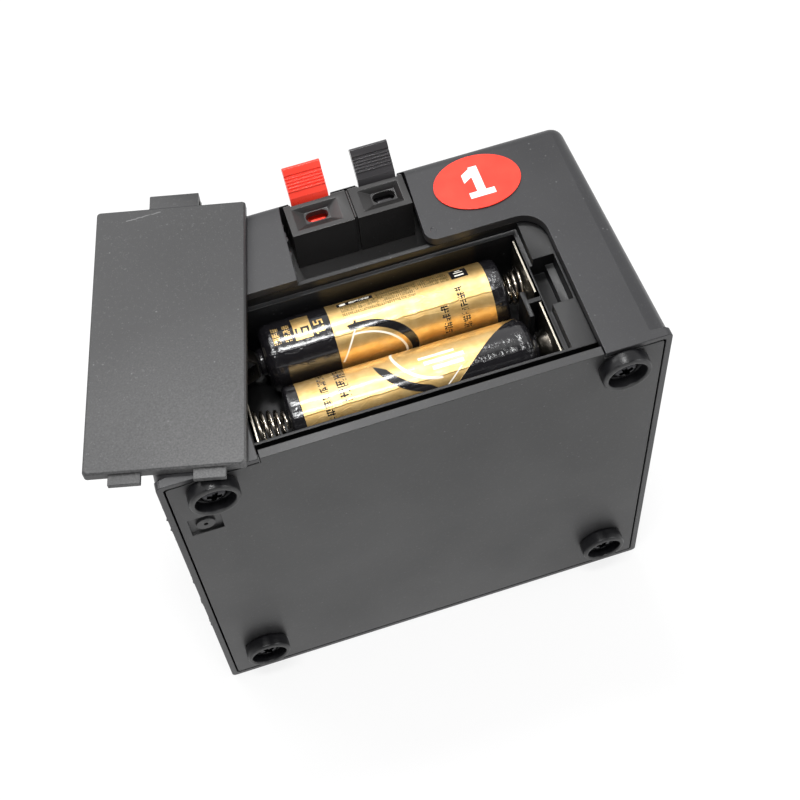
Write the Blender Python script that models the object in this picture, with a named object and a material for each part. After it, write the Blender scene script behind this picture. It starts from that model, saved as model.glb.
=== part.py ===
"""Battery-powered firing base for one cold spark fountain, lying on its side with the battery cover off.

X runs along the battery face, Z points out of the battery face, and Y points from the bottom plate to the
top of the product. Lengths below are millimetres. Points are (x, v, z), where v is the distance from the rim
that the bottom plate sits in, so world y is v less half the housing's depth.
"""

import math

import bmesh
import bpy
import numpy as np

for leftover in list(bpy.data.objects):
    bpy.data.objects.remove(leftover)

MM = 0.001

# Clearances
LOOSE = 0.3
CLOSE = 0.15

# Cells, AA size
CELL_R = 7.0
CELL_BODY = 49.3
NUB = 1.2
NUB_R = 2.75
CELL_EDGE = 1.3
NEAR_CELL_X = -22.6
FAR_CELL_SHIFT = 1.1
CELL_SPACE = 1.1
CELL_STEPS = 32

# Contacts and springs
CONTACT_T = 0.4
CONTACT_RAISE = 0.9
DIMPLE_REACH = 2.3
DIMPLE_R = 3.4
SINGLE_SPRING = 6.8
PLATE_INSET = 0.9
STRAP_H = 2.2
TAB_W = 3.0
TAB_LENGTH = 3.7
SPRING_WIRE = 0.32
SPRING_SMALL = 2.5
SPRING_LARGE = 3.9
SPRING_POINTS = 10
SPRING_SIDES = 6
RIGHT_TURNS = 3.3
LEFT_TURNS = 4.4
SPRING_SEAT = 0.1

# Bottom plate
PLATE_T = 1.9
PLATE_GAP = 0.35
PLATE_R = 0.7

# Battery tray and the opening over it
TRAY_BACK = 2.7
TRAY_WALL = 0.7
TRAY_FLOOR_T = 1.5
TRAY_DROP = 3.1
TRAY_LIP = 1.3
LID_GAP = 0.35
LID_PLAY = 0.4
LEDGE_W = 0.7
END_LEDGE = 1.0
PAD_W = 4.7
LATCH_GAP = 0.6
LATCH_DEEP = 5.5
LATCH_SHELF_DEEP = 3.2
LATCH_SHELF_W = 1.7
DIVIDER_T = 1.0
DIVIDER_BACK = 1.8
RIDGE_W = 4.0
RIDGE_H = 3.9
RIDGE_INSET = 2.6
OPEN_R = 5.0
OPEN_LEFT_R = 2.0
TONGUE_GAP = 0.3

# Housing
RIGHT_MARGIN = 13.4
NOTCH_RUN = 20.0
HEIGHT = 96.0
SIDE_DRAFT = 1.76
FACE_DRAFT = 1.14
WALL = 2.0
EDGE_R = 2.75
FAR_R = 2.6
BAND = 1.8
BAND_R = 1.0
BAND_STEP = 0.2
CORNER_STEPS = 6
FILLET_STEPS = 5
LIP = 1.25
INNER_R = 1.5

# Battery cover, loose on the battery face
COVER_T = 2.0
COVER_R = 0.7
COVER_EDGE = 0.35
COVER_X = -39.95
COVER_V = 31.54
COVER_TURN = -14.34
HOOK_W = 6.0
HOOK_L = 2.0
HOOK_T = 1.1
HOOK_STARTS = (4.6, 20.2)
TAB_START = 10.6
LATCH_W = 9.8
LATCH_L = 3.5
LATCH_T = 1.3
LATCH_DROP = 4.2
LATCH_FINGER = 1.1
LATCH_BEAD = 0.5

# Feet and their screws
FOOT_SIDE = 9.8
FOOT_TOP = 5.4
FOOT_BOTTOM = 12.9
FOOT_R = 5.0
FOOT_RECESS_R = 4.0
FOOT_H = 3.2
FOOT_FLOOR = 1.2
FOOT_EDGE = 0.35
SCREW_R = 1.3
SCREW_HEAD_R = 2.8
SCREW_HEAD_H = 1.5
SCREW_LENGTH = 11.0
BOSS_R = 2.9
RIB_T = 1.0

# Moulded pip on the plate
PIP_SIDE = 6.5
PIP_TOP = 18.5
PIP_R = 1.9
PIP_HOLE_R = 0.45
PIP_POCKET = 6.4
PIP_POCKET_DEEP = 0.7

# Push terminal
BLOCK_LEFT = -11.2
RED_BLOCK_W = 12.9
BLACK_BLOCK_W = 11.4
BLOCK_SPACE = 0.6
BLOCK_DEEP = 8.3
BLOCK_HEIGHT = 10.9
BLOCK_SINK = 1.0
BACK_WALL = 1.0
NOTCH_GAP = 0.25
NOTCH_FLARE = 0.9
NOTCH_CORNER = 2.5
FLANGE_T = 1.5
FLANGE_FRONT = 3.4
FLANGE_SIDE = 2.55
LEVER_W = 7.8
RED_LEVER_INSET = 1.85
BLACK_LEVER_INSET = 1.1
LEVER_SIDE_GAP = 0.35
RED_FUNNEL_EDGES = (1.4, 2.1)
BLACK_FUNNEL_EDGES = (1.7, 1.4)
FUNNEL_FRONT = 1.1
FUNNEL_BACK = 1.8
FUNNEL_DEEP = 2.2
RED_SLOT_INSET = 6.1
BLACK_SLOT_INSET = 4.8
SLOT_FRONT = 4.5
SLOT_L = 4.6
SLOT_W = 2.4
SLOT_BORDER = 0.25
CHAMBER_FRONT = 1.6
CHAMBER_BASE = 1.5
CHAMBER_TOP = 0.6
EXIT_BACK = 0.85
PIVOT_BACK = 1.5
PIVOT_DROP = 6.8
PIVOT_R = 0.7
PIVOT_BORE_R = 0.95
PIVOT_BOSS_R = 1.5
PIN_INSET = 0.4
LEVER_TILT = 50.0
LEVER_ROOT_BACK = 0.7
LEVER_LENGTH = 6.5
LEVER_HALF_T = 0.8
ARM_HALF_T = 0.6
LEVER_RIBS = 5
RIB_START = 1.35
RIB_PITCH = 0.64
RIB_HEIGHT = 0.28
TIP_HEIGHT = 0.45
LEVER_FOOT_GAP = 0.6
LEVER_FOOT_DROP = 1.6
LEVER_FOOT_T = 1.4
RELIEF_RAISE = 1.3
RELIEF_SIDE = 0.5
CLIP_T = 0.4
CLIP_W = 4.4
CLIP_BACK = 0.5
CLIP_BEND = 1.3
CLIP_TAIL = 5.1
SHELF_FRONT = 2.6
SHELF_REACH = 1.9
SHELF_T = 2.4
PEG_R = 1.2
PEG_HEAD_R = 2.0
PEG_HEAD_T = 1.0
PEG_BACK = 3.1
PEG_INSET = 2.8

# Channel sticker
STICKER_SIDE = 22.6
STICKER_BACK = 9.2
STICKER_LONG = 18.0
STICKER_SHORT = 13.5
STICKER_T = 0.25
STICKER_GAP = 0.1

# Fountain cup in the product's top
CUP_BELOW_MIDDLE = 4.0
CUP_BORE_R = 15.0
CUP_WALL = 2.0
CUP_DEEP = 25.0
CUP_FLANGE_R = 20.0
CUP_FLANGE_T = 1.5
CUP_FLOOR = 2.0
CUP_CHAMFER = 0.5
NUT_R = 20.0
NUT_T = 3.0

# Switch and indicator
SWITCH_V = 29.0
SWITCH_Z = 30.0
SWITCH_BORDER = 1.1
SWITCH_BODY_W = 12.8
SWITCH_BODY_H = 18.6
SWITCH_BODY_DEEP = 13.0
SWITCH_FRAME_T = 1.6
SWITCH_RIM = 1.3
ROCKER_SINK = 3.5
ROCKER_HEEL = 3.0
ROCKER_END_GAP = 0.6
ROCKER_RISE = 1.5
ROCKER_DISH = 1.7
ROCKER_CAVITY = 8.4
BLADE_W = 4.8
BLADE_T = 0.8
BLADE_L = 6.5
BLADE_APART = 3.8
LAMP_X = 32.0
LAMP_TOP = 26.0
LAMP_R = 2.5
LAMP_FLANGE_R = 3.0
LAMP_FLANGE_T = 1.2
LAMP_RISE = 2.6
LAMP_DOME = 1.8

# Circuit board
BOARD_V = 9.0
BOARD_T = 1.6
BOARD_SIDE = 18.0
BOARD_LOW = 6.0
BOARD_TOP_GAP = 4.6
BOARD_R = 1.5
POST_INSET = 4.0
POST_END = 4.5
POST_R = 3.0
BOARD_SCREW_R = 1.0
BOARD_HEAD_R = 2.2
BOARD_HEAD_H = 1.4
BOARD_SCREW_L = 6.0
RELAY_INSET = 8.0
RELAY_RAISE = 10.0
RELAY_W = 15.5
RELAY_L = 19.0
RELAY_H = 15.0
RELAY_R = 0.8
RADIO_INSET = 8.0
RADIO_DROP = 10.0
RADIO_W = 16.0
RADIO_T = 0.8
RADIO_CAN_H = 2.2
CHIP_DROP = 13.0
CHIP_GAP = 4.0
CHIP_W = 8.0
CHIP_L = 11.0
CHIP_LEG = 1.6
CHIP_H = 1.6
CHIP_LEGS = 8
CAP_INSET = 14.0
CAP_RAISE = 18.0
CAP_R = 5.0
CAP_H = 16.0
COIL_INSET = 7.0
COIL_DROP = 18.0
COIL_R = 2.4
COIL_WIRE = 0.4
COIL_TURNS = 8
COIL_PITCH = 1.5
COIL_RAISE = 2.0
WIRE_R = 0.6
WIRE_SIDES = 8
WIRE_STEPS = 4

# Places that follow from the sizes above
TRAY_NEAR = PLATE_T + TRAY_BACK
BAY_NEAR = TRAY_NEAR + TRAY_WALL
NEAR_CELL_V = BAY_NEAR + LOOSE + CELL_R
FAR_CELL_V = NEAR_CELL_V + 2 * CELL_R + CELL_SPACE
BAY_FAR = FAR_CELL_V + CELL_R + 2 * LOOSE
OPEN_FAR = BAY_FAR + LEDGE_W
TRAY_FAR = OPEN_FAR + TRAY_LIP
FAR_CELL_X = NEAR_CELL_X - FAR_CELL_SHIFT
SINGLE_X = NEAR_CELL_X - SINGLE_SPRING - CONTACT_T
BAY_LEFT = SINGLE_X - LOOSE - SPRING_SEAT * 2
LINK_X = NEAR_CELL_X + CELL_BODY + NUB + DIMPLE_REACH
BAY_RIGHT = LINK_X + CONTACT_T + 2 * CLOSE
PAD_LEFT = BAY_RIGHT + END_LEDGE
OPEN_RIGHT = PAD_LEFT + PAD_W
OPEN_LEFT = BAY_LEFT - LOOSE
TRAY_RIGHT = OPEN_RIGHT + LOOSE
TRAY_LEFT = BAY_LEFT - 3 * TRAY_WALL
TRAY_TOP = HEIGHT - TRAY_DROP
SEAT_Z = TRAY_TOP - COVER_T - LID_PLAY
CELL_Z = SEAT_Z - CELL_R
FLOOR_Z = CELL_Z - CELL_R - LID_PLAY
UNDER_TRAY = FLOOR_Z - TRAY_FLOOR_T
CONTACT_FOOT = FLOOR_Z + CONTACT_RAISE
TAB_END = FLOOR_Z - TAB_LENGTH
WIDTH = 2 * (OPEN_RIGHT + RIGHT_MARGIN)
DEPTH = OPEN_FAR + NOTCH_RUN
COVER_LONG = PAD_LEFT - BAY_LEFT - HOOK_L - CLOSE
COVER_SHORT = OPEN_FAR - BAY_NEAR - 2 * LID_GAP
LATCH_NEAR = BAY_NEAR + LID_GAP + TAB_START - LATCH_GAP
LATCH_FAR = LATCH_NEAR + LATCH_W + 2 * LATCH_GAP
FOOT_X = WIDTH / 2 - FOOT_SIDE
PIP_X = PIP_SIDE - WIDTH / 2
PIP_Z = HEIGHT - PIP_TOP
POCKET_V = DEPTH - BACK_WALL
BLOCK_FAR = POCKET_V - LOOSE
BLOCK_NEAR = BLOCK_FAR - BLOCK_DEEP
BLOCK_TOP = HEIGHT - BLOCK_SINK
FLANGE_TOP = BLOCK_TOP - BLOCK_HEIGHT
FLANGE_NEAR = BLOCK_NEAR - FLANGE_FRONT
RED_BLOCK = (BLOCK_LEFT, BLOCK_LEFT + RED_BLOCK_W)
BLACK_BLOCK = (RED_BLOCK[1] + BLOCK_SPACE, RED_BLOCK[1] + BLOCK_SPACE + BLACK_BLOCK_W)
RED_LEVER = (RED_BLOCK[0] + RED_LEVER_INSET, RED_BLOCK[0] + RED_LEVER_INSET + LEVER_W)
BLACK_LEVER = (BLACK_BLOCK[1] - BLACK_LEVER_INSET - LEVER_W, BLACK_BLOCK[1] - BLACK_LEVER_INSET)
RED_FUNNEL = (RED_BLOCK[0] + RED_FUNNEL_EDGES[0], RED_BLOCK[1] - RED_FUNNEL_EDGES[1])
BLACK_FUNNEL = (BLACK_BLOCK[0] + BLACK_FUNNEL_EDGES[0], BLACK_BLOCK[1] - BLACK_FUNNEL_EDGES[1])
RED_SLOT_X = RED_BLOCK[0] + RED_SLOT_INSET
BLACK_SLOT_X = BLACK_BLOCK[1] - BLACK_SLOT_INSET
FUNNEL_NEAR = BLOCK_NEAR + FUNNEL_FRONT
FUNNEL_FAR = BLOCK_FAR - FUNNEL_BACK
FUNNEL_BOTTOM = BLOCK_TOP - FUNNEL_DEEP
SLOT_V = BLOCK_NEAR + SLOT_FRONT
CHAMBER_NEAR = BLOCK_NEAR + CHAMBER_FRONT
CHAMBER_FLOOR = FLANGE_TOP + CHAMBER_BASE
CHAMBER_ROOF = FUNNEL_BOTTOM - CHAMBER_TOP
LEVER_EXIT = BLOCK_FAR - EXIT_BACK
PIVOT_V = BLOCK_FAR - PIVOT_BACK
PIVOT_Z = BLOCK_TOP - PIVOT_DROP
LEVER_ROOT_V = BLOCK_FAR + LEVER_ROOT_BACK
LEVER_FOOT_NEAR = CHAMBER_NEAR + LEVER_FOOT_GAP
LEVER_FOOT_TOP = CHAMBER_ROOF - LEVER_FOOT_DROP
RELIEF_Z = PIVOT_Z + RELIEF_RAISE
CLIP_V = SLOT_V - CLIP_BACK
CLIP_END = FLANGE_TOP - CLIP_TAIL
PEG_V = BLOCK_FAR - PEG_BACK
FLANGE_LEFT = RED_BLOCK[0] - FLANGE_SIDE
FLANGE_RIGHT = BLACK_BLOCK[1] + FLANGE_SIDE
STICKER_X = WIDTH / 2 - STICKER_SIDE
STICKER_V = DEPTH - STICKER_BACK
CUP_Z = HEIGHT / 2 - CUP_BELOW_MIDDLE
BOARD_HALF = WIDTH / 2 - BOARD_SIDE
BOARD_HIGH = UNDER_TRAY - BOARD_TOP_GAP
POST_X = BOARD_HALF - POST_INSET
POST_LOW = BOARD_LOW + POST_END
POST_HIGH = BOARD_HIGH - POST_END
RELAY_LEFT = RELAY_INSET - BOARD_HALF
RELAY_LOW = BOARD_LOW + RELAY_RAISE
RADIO_RIGHT = BOARD_HALF - RADIO_INSET
RADIO_HIGH = BOARD_HIGH - RADIO_DROP
CHIP_RIGHT = RADIO_RIGHT - RADIO_W - CHIP_GAP
CHIP_HIGH = BOARD_HIGH - CHIP_DROP
CAP_X = BOARD_HALF - CAP_INSET
CAP_Z = BOARD_LOW + CAP_RAISE
COIL_X = COIL_INSET - BOARD_HALF
COIL_Z = BOARD_HIGH - COIL_DROP
LAMP_Z = HEIGHT - LAMP_TOP

# Colours as linear red, green and blue, then roughness and metallic
FINISHES = {
    "shell_black": ((0.016, 0.016, 0.018), 0.55, 0.0),
    "tray_black": ((0.010, 0.010, 0.011), 0.5, 0.0),
    "terminal_black": ((0.012, 0.011, 0.011), 0.42, 0.0),
    "lever_red": ((0.62, 0.02, 0.012), 0.38, 0.0),
    "lever_black": ((0.012, 0.012, 0.013), 0.4, 0.0),
    "foot_rubber": ((0.009, 0.009, 0.009), 0.8, 0.0),
    "screw_zinc": ((0.55, 0.55, 0.56), 0.3, 1.0),
    "screw_black": ((0.02, 0.02, 0.021), 0.35, 0.6),
    "contact_nickel": ((0.62, 0.60, 0.55), 0.28, 1.0),
    "spring_steel": ((0.60, 0.59, 0.57), 0.25, 1.0),
    "cell_gold": ((0.58, 0.40, 0.09), 0.3, 0.8),
    "sticker_red": ((0.52, 0.018, 0.014), 0.4, 0.0),
    "brass": ((0.62, 0.42, 0.14), 0.3, 1.0),
    "lamp_red": ((0.55, 0.03, 0.02), 0.15, 0.0),
    "board_green": ((0.02, 0.14, 0.05), 0.45, 0.0),
    "relay_blue": ((0.02, 0.08, 0.30), 0.4, 0.0),
    "wire_red": ((0.55, 0.02, 0.02), 0.45, 0.0),
    "wire_black": ((0.012, 0.012, 0.012), 0.45, 0.0),
}


# Helpers


def material(name, slot):
    """A piece's own Principled material, with its slot's finish."""
    color, roughness, metallic = FINISHES[slot]
    made = bpy.data.materials.new(name)
    made.use_nodes = True
    shader = made.node_tree.nodes["Principled BSDF"]
    shader.inputs["Base Color"].default_value = (*color, 1.0)
    shader.inputs["Roughness"].default_value = roughness
    shader.inputs["Metallic"].default_value = metallic
    return made


def solid(points, faces):
    """A working mesh in millimetres whose faces are turned outwards."""
    mesh = bpy.data.meshes.new("work")
    mesh.from_pydata([tuple(map(float, point)) for point in points], [], faces)
    shape = bmesh.new()
    shape.from_mesh(mesh)
    bmesh.ops.recalc_face_normals(shape, faces=shape.faces)
    shape.to_mesh(mesh)
    shape.free()
    work = bpy.data.objects.new("work", mesh)
    bpy.context.scene.collection.objects.link(work)
    return work


def loft(rings):
    """A closed solid through rings of equally many points, with a flat cap on each end."""
    count = len(rings[0])
    faces = [tuple(range(count))]
    for ring in range(len(rings) - 1):
        low = ring * count
        high = low + count
        for k in range(count):
            after = (k + 1) % count
            faces.append((low + k, low + after, high + after, high + k))
    last = (len(rings) - 1) * count
    faces.append(tuple(range(last, last + count)))
    return solid([point for ring in rings for point in ring], faces)


def place(axis, a, b, along):
    """The point at a, b across an axis and along it: (v, z) across x, (x, z) across v, (x, v) across z."""
    if axis == "x":
        return (along, a, b)
    if axis == "v":
        return (a, along, b)
    return (a, b, along)


def prism(outline, axis, start, end):
    """The outline pushed along an axis."""
    return loft([[place(axis, a, b, along) for a, b in outline] for along in (start, end)])


def block(x0, x1, v0, v1, z0, z1):
    return prism([(x0, v0), (x1, v0), (x1, v1), (x0, v1)], "z", z0, z1)


def rounded(a0, a1, b0, b1, radius, steps=CORNER_STEPS):
    """A rectangle with rounded corners."""
    corners = ((a1, b1, 0), (a0, b1, 90), (a0, b0, 180), (a1, b0, 270))
    outline = []
    for a, b, start in corners:
        centre_a = a - radius if a == a1 else a + radius
        centre_b = b - radius if b == b1 else b + radius
        for k in range(steps + 1):
            angle = math.radians(start + 90 * k / steps)
            outline.append((centre_a + radius * math.cos(angle), centre_b + radius * math.sin(angle)))
    return outline


def circle(a, b, radius, steps=24):
    angles = [2 * math.pi * (k + 0.5) / steps for k in range(steps)]
    return [(a + radius * math.cos(angle), b + radius * math.sin(angle)) for angle in angles]


def cylinder(axis, a, b, radius, start, end, steps=24):
    return prism(circle(a, b, radius, steps), axis, start, end)


def lathe(axis, a, b, profile, steps=24):
    """Turns (radius, along) points about an axis. The profile ends on the axis twice, or is a closed loop."""
    on_axis = profile[0][0] == 0 and profile[-1][0] == 0
    body = profile[1:-1] if on_axis else profile
    points = []
    for radius, along in body:
        points += [place(axis, *around, along) for around in circle(a, b, radius, steps)]
    faces = []
    rings = len(body) if not on_axis else len(body) - 1
    for ring in range(rings):
        low = ring * steps
        high = (ring + 1) % len(body) * steps
        for k in range(steps):
            after = (k + 1) % steps
            faces.append((low + k, low + after, high + after, high + k))
    if on_axis:
        last = (len(body) - 1) * steps
        for first, along in ((0, profile[0][1]), (last, profile[-1][1])):
            points.append(place(axis, a, b, along))
            tip = len(points) - 1
            faces += [(first + k, first + (k + 1) % steps, tip) for k in range(steps)]
    return solid(points, faces)


def combined(base, operation, others):
    """The base after an exact Boolean with each of the others, which are used up."""
    for other in others:
        step = base.modifiers.new("step", "BOOLEAN")
        step.operation = operation
        step.solver = "EXACT"
        step.object = other
    graph = bpy.context.evaluated_depsgraph_get()
    mesh = bpy.data.meshes.new_from_object(base.evaluated_get(graph))
    base.modifiers.clear()
    base.data = mesh
    for other in others:
        bpy.data.objects.remove(other)
    return base


def join(base, *others):
    return combined(base, "UNION", others)


def cut(base, *others):
    return combined(base, "DIFFERENCE", others)


def moved(work, change):
    """The working mesh with every point (x, v, z) put through a function."""
    for vertex in work.data.vertices:
        vertex.co = change(*vertex.co)
    return work


def node(name, work, slot, pivot=None, sharp=35.0):
    """Makes the working mesh a named object in metres, with its origin on the pivot."""
    pivot = np.array(pivot if pivot is not None else (0.0, DEPTH / 2, 0.0))
    mesh = work.data
    points = np.empty(len(mesh.vertices) * 3)
    mesh.vertices.foreach_get("co", points)
    points = (points.reshape(-1, 3) - pivot) * MM
    mesh.vertices.foreach_set("co", points.ravel())
    mesh.materials.clear()
    mesh.materials.append(material(name, slot))
    mesh.shade_smooth()
    mesh.set_sharp_from_angle(angle=math.radians(sharp))
    mesh.update()
    mesh.name = name
    work.name = name
    work.location = (pivot - np.array((0.0, DEPTH / 2, 0.0))) * MM
    return work


def tube(path, radius, sides=WIRE_SIDES):
    """A round tube along points, with its cross-section carried along without twisting."""
    path = np.array(path, float)
    tangents = np.gradient(path, axis=0)
    tangents /= np.linalg.norm(tangents, axis=1)[:, None]
    side = np.cross(tangents[0], (0.0, 0.0, 1.0))
    if np.linalg.norm(side) < 0.2:
        side = np.cross(tangents[0], (1.0, 0.0, 0.0))
    rings = []
    for point, tangent in zip(path, tangents):
        side = side - tangent * np.dot(side, tangent)
        side /= np.linalg.norm(side)
        other = np.cross(tangent, side)
        angles = [2 * math.pi * k / sides for k in range(sides)]
        rings.append([point + radius * (math.cos(t) * side + math.sin(t) * other) for t in angles])
    return loft(rings)


def curve_through(points, steps=WIRE_STEPS):
    """Catmull-Rom points through the given ones."""
    points = np.array(points, float)
    ends = np.vstack([2 * points[0] - points[1], points, 2 * points[-1] - points[-2]])
    path = []
    for k in range(1, len(ends) - 2):
        before, start, end, after = ends[k - 1 : k + 3]
        for step in range(steps):
            t = step / steps
            path.append(
                0.5
                * (
                    2 * start
                    + (end - before) * t
                    + (2 * before - 5 * start + 4 * end - after) * t**2
                    + (3 * start - before - 3 * end + after) * t**3
                )
            )
    path.append(points[-1])
    return path


def helix(start, end, first_radius, last_radius, turns, centre, axis, per_turn=SPRING_POINTS):
    """Points of a coil along x or v about a centre, with its radius changing evenly."""
    count = int(round(turns * per_turn)) + 1
    path = []
    for k in range(count):
        share = k / (count - 1)
        radius = first_radius + (last_radius - first_radius) * share
        angle = 2 * math.pi * turns * share
        a = centre[0] + radius * math.cos(angle)
        b = centre[1] + radius * math.sin(angle)
        path.append(place(axis, a, b, start + (end - start) * share))
    return path


def coil_gap(path, radius, per_turn=SPRING_POINTS):
    """The least gap between curls, measured between the coil's own points."""
    path = np.array(path)
    apart = np.linalg.norm(path[:, None] - path[None], axis=2)
    far = np.abs(np.subtract.outer(np.arange(len(path)), np.arange(len(path)))) > per_turn // 2
    return float(apart[far].min() - 2 * radius)


def strip(points, thickness, axis, start, end):
    """A bent strip of even thickness: the points are its middle line, across the given axis."""
    points = np.array(points, float)
    steps = np.diff(points, axis=0)
    steps /= np.linalg.norm(steps, axis=1)[:, None]
    normals = np.stack([-steps[:, 1], steps[:, 0]], axis=1)
    mitres = [normals[0]]
    for before, after in zip(normals, normals[1:]):
        mitres.append((before + after) / (1 + np.dot(before, after)))
    mitres.append(normals[-1])
    half = np.array(mitres) * thickness / 2
    outline = list(points + half) + list((points - half)[::-1])
    return prism([tuple(point) for point in outline], axis, start, end)


def switch_seat():
    """Where the switch frame sits on the drafted side wall."""
    return half_width(SWITCH_V - SWITCH_BODY_W / 2 - SWITCH_BORDER) + CLOSE


def half_width(v):
    return WIDTH / 2 - SIDE_DRAFT * v / DEPTH


def face_z(v):
    """Height of the battery face, which slopes a little for its draft."""
    return HEIGHT - FACE_DRAFT * v / DEPTH


def section(v, inset, radius):
    """The housing's outline at v, moved inwards by an inset."""
    outline = rounded(
        -half_width(v) + inset, half_width(v) - inset, inset, face_z(v) - inset, radius
    )
    return [(x, v, z) for x, z in outline]


def cross_cutter(v_top, v_bottom, x, z, size, width):
    """A tapering cross for a screw head."""
    arms = []
    for turned in (False, True):
        long, short = (width, size) if turned else (size, width)
        rings = []
        for v, share in ((v_top, 1.0), (v_bottom, 0.45)):
            half_a = long / 2 * share if long > short else long / 2
            half_b = short / 2 * share if short > long else short / 2
            rings.append(
                [
                    (x - half_a, v, z - half_b),
                    (x + half_a, v, z - half_b),
                    (x + half_a, v, z + half_b),
                    (x - half_a, v, z + half_b),
                ]
            )
        arms.append(loft(rings))
    return arms


FOOT_PLACES = {
    "front_left": (-FOOT_X, HEIGHT - FOOT_TOP),
    "front_right": (FOOT_X, HEIGHT - FOOT_TOP),
    "back_left": (-FOOT_X, FOOT_BOTTOM),
    "back_right": (FOOT_X, FOOT_BOTTOM),
}
BOSS_BORE_R = SCREW_R + LOOSE
CAVITY_V = DEPTH - WALL
LEDGE_V = PLATE_T + LOOSE
CUP_R = CUP_BORE_R + CUP_WALL
LEVERS = {
    "red": (RED_BLOCK, RED_LEVER, RED_FUNNEL, RED_SLOT_X),
    "black": (BLACK_BLOCK, BLACK_LEVER, BLACK_FUNNEL, BLACK_SLOT_X),
}


# Housing


def make_housing():
    rings = [section(0.0, 0.0, BAND_R), section(BAND, 0.0, BAND_R), section(BAND + BAND_STEP, 0.0, EDGE_R)]
    for k in range(FILLET_STEPS + 1):
        angle = math.radians(90 * k / FILLET_STEPS)
        inset = FAR_R * (1 - math.cos(angle))
        radius = max(EDGE_R - inset, EDGE_R - FAR_R)
        rings.append(section(DEPTH - FAR_R + FAR_R * math.sin(angle), inset, radius))
    shell = loft(rings)
    rabbet = loft([section(v, LIP, PLATE_R) for v in (-1.0, LEDGE_V)])
    cavity = loft([section(v, WALL, INNER_R) for v in (LEDGE_V - 0.1, CAVITY_V)])
    shell = cut(shell, rabbet, cavity)
    bosses = []
    for x, z in FOOT_PLACES.values():
        side = 1 if x > 0 else -1
        bosses.append(cylinder("v", x, z, BOSS_R, LEDGE_V + CLOSE, DEPTH - 1.0))
        wall_x = side * (half_width(DEPTH) - 1.0)
        inner_x = x + side * BOSS_R / 2
        bosses.append(
            block(
                min(wall_x, inner_x),
                max(wall_x, inner_x),
                LEDGE_V + 1.0,
                DEPTH - 1.0,
                z - RIB_T / 2,
                z + RIB_T / 2,
            )
        )
        if z > HEIGHT / 2:
            half = BOSS_R * 0.75
            bosses.append(block(x - half, x + half, LEDGE_V + 1.0, DEPTH - 1.0, z, face_z(DEPTH) - 1.0))
        else:
            bosses.append(
                block(x - RIB_T / 2, x + RIB_T / 2, LEDGE_V + 1.0, DEPTH - 1.0, 1.0, z - BOSS_R / 2)
            )
    shelf_top = FLANGE_TOP - FLANGE_T - LOOSE
    for x0, x1 in (
        (FLANGE_LEFT - LOOSE, FLANGE_LEFT + PEG_INSET + SHELF_REACH),
        (FLANGE_RIGHT - PEG_INSET - SHELF_REACH, FLANGE_RIGHT + LOOSE),
    ):
        far = DEPTH - BACK_WALL / 2
        bosses.append(block(x0, x1, PEG_V - SHELF_FRONT, far, shelf_top - SHELF_T, shelf_top))
    shell = join(shell, *bosses)
    cutters = []
    for x, z in FOOT_PLACES.values():
        cutters.append(cylinder("v", x, z, BOSS_BORE_R, 0.0, SCREW_LENGTH + 2.0))
    opening = [(OPEN_LEFT, -1.0), (OPEN_RIGHT, -1.0)]
    centre = (OPEN_RIGHT - OPEN_R, OPEN_FAR - OPEN_R)
    for k in range(7):
        angle = math.radians(90 * k / 6)
        opening.append((centre[0] + OPEN_R * math.cos(angle), centre[1] + OPEN_R * math.sin(angle)))
    opening += [(OPEN_LEFT + OPEN_LEFT_R, OPEN_FAR), (OPEN_LEFT, OPEN_FAR - OPEN_LEFT_R)]
    cutters.append(prism(opening, "z", face_z(DEPTH) - WALL - 0.9, HEIGHT + 2.0))
    left = RED_BLOCK[0] - NOTCH_GAP
    right = BLACK_BLOCK[1] + NOTCH_GAP
    start = OPEN_FAR - 0.5
    notch = [
        (left - 2 * NOTCH_FLARE, start),
        (left - NOTCH_FLARE, BLOCK_NEAR + BLOCK_DEEP / 2),
        (left - NOTCH_FLARE / 2, POCKET_V),
        (right + NOTCH_FLARE / 2, POCKET_V),
        (right, BLOCK_NEAR - NOTCH_GAP),
    ]
    for k in range(7):
        angle = math.radians(90 * k / 6)
        notch.append(
            (
                right - NOTCH_FLARE / 2 + NOTCH_CORNER * (1 - math.cos(angle)),
                OPEN_FAR + NOTCH_CORNER * (1 - math.sin(angle)),
            )
        )
    notch.append((notch[-1][0], start))
    cutters.append(prism(notch, "z", FLANGE_TOP - FLANGE_T - LOOSE, HEIGHT + 2.0))
    cutters.append(
        block(
            FLANGE_LEFT - LOOSE,
            FLANGE_RIGHT + LOOSE,
            FLANGE_NEAR,
            POCKET_V,
            FLANGE_TOP - FLANGE_T - LOOSE,
            FLANGE_TOP + LOOSE,
        )
    )
    for _, lever, _, _ in LEVERS.values():
        cutters.append(
            block(
                lever[0] - RELIEF_SIDE,
                lever[1] + RELIEF_SIDE,
                POCKET_V - 1.0,
                DEPTH + 1.0,
                RELIEF_Z,
                HEIGHT,
            )
        )
    for x in (FLANGE_LEFT + PEG_INSET, FLANGE_RIGHT - PEG_INSET):
        cutters.append(cylinder("z", x, PEG_V, PEG_R + LOOSE, UNDER_TRAY, FLANGE_TOP, 16))
    cutters.append(cylinder("v", 0.0, CUP_Z, CUP_R + LOOSE, CAVITY_V - 1.0, DEPTH + 1.0, 40))
    cutters.append(cylinder("v", LAMP_X, LAMP_Z, LAMP_R + LOOSE, CAVITY_V - 1.0, DEPTH + 1.0, 20))
    cutters.append(
        block(
            half_width(DEPTH) - 4.0,
            WIDTH / 2 + 2.0,
            SWITCH_V - SWITCH_BODY_W / 2 - LOOSE,
            SWITCH_V + SWITCH_BODY_W / 2 + LOOSE,
            SWITCH_Z - SWITCH_BODY_H / 2 - LOOSE,
            SWITCH_Z + SWITCH_BODY_H / 2 + LOOSE,
        )
    )
    return node("housing", cut(shell, *cutters), "shell_black")


# Bottom plate, feet and their screws


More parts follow.
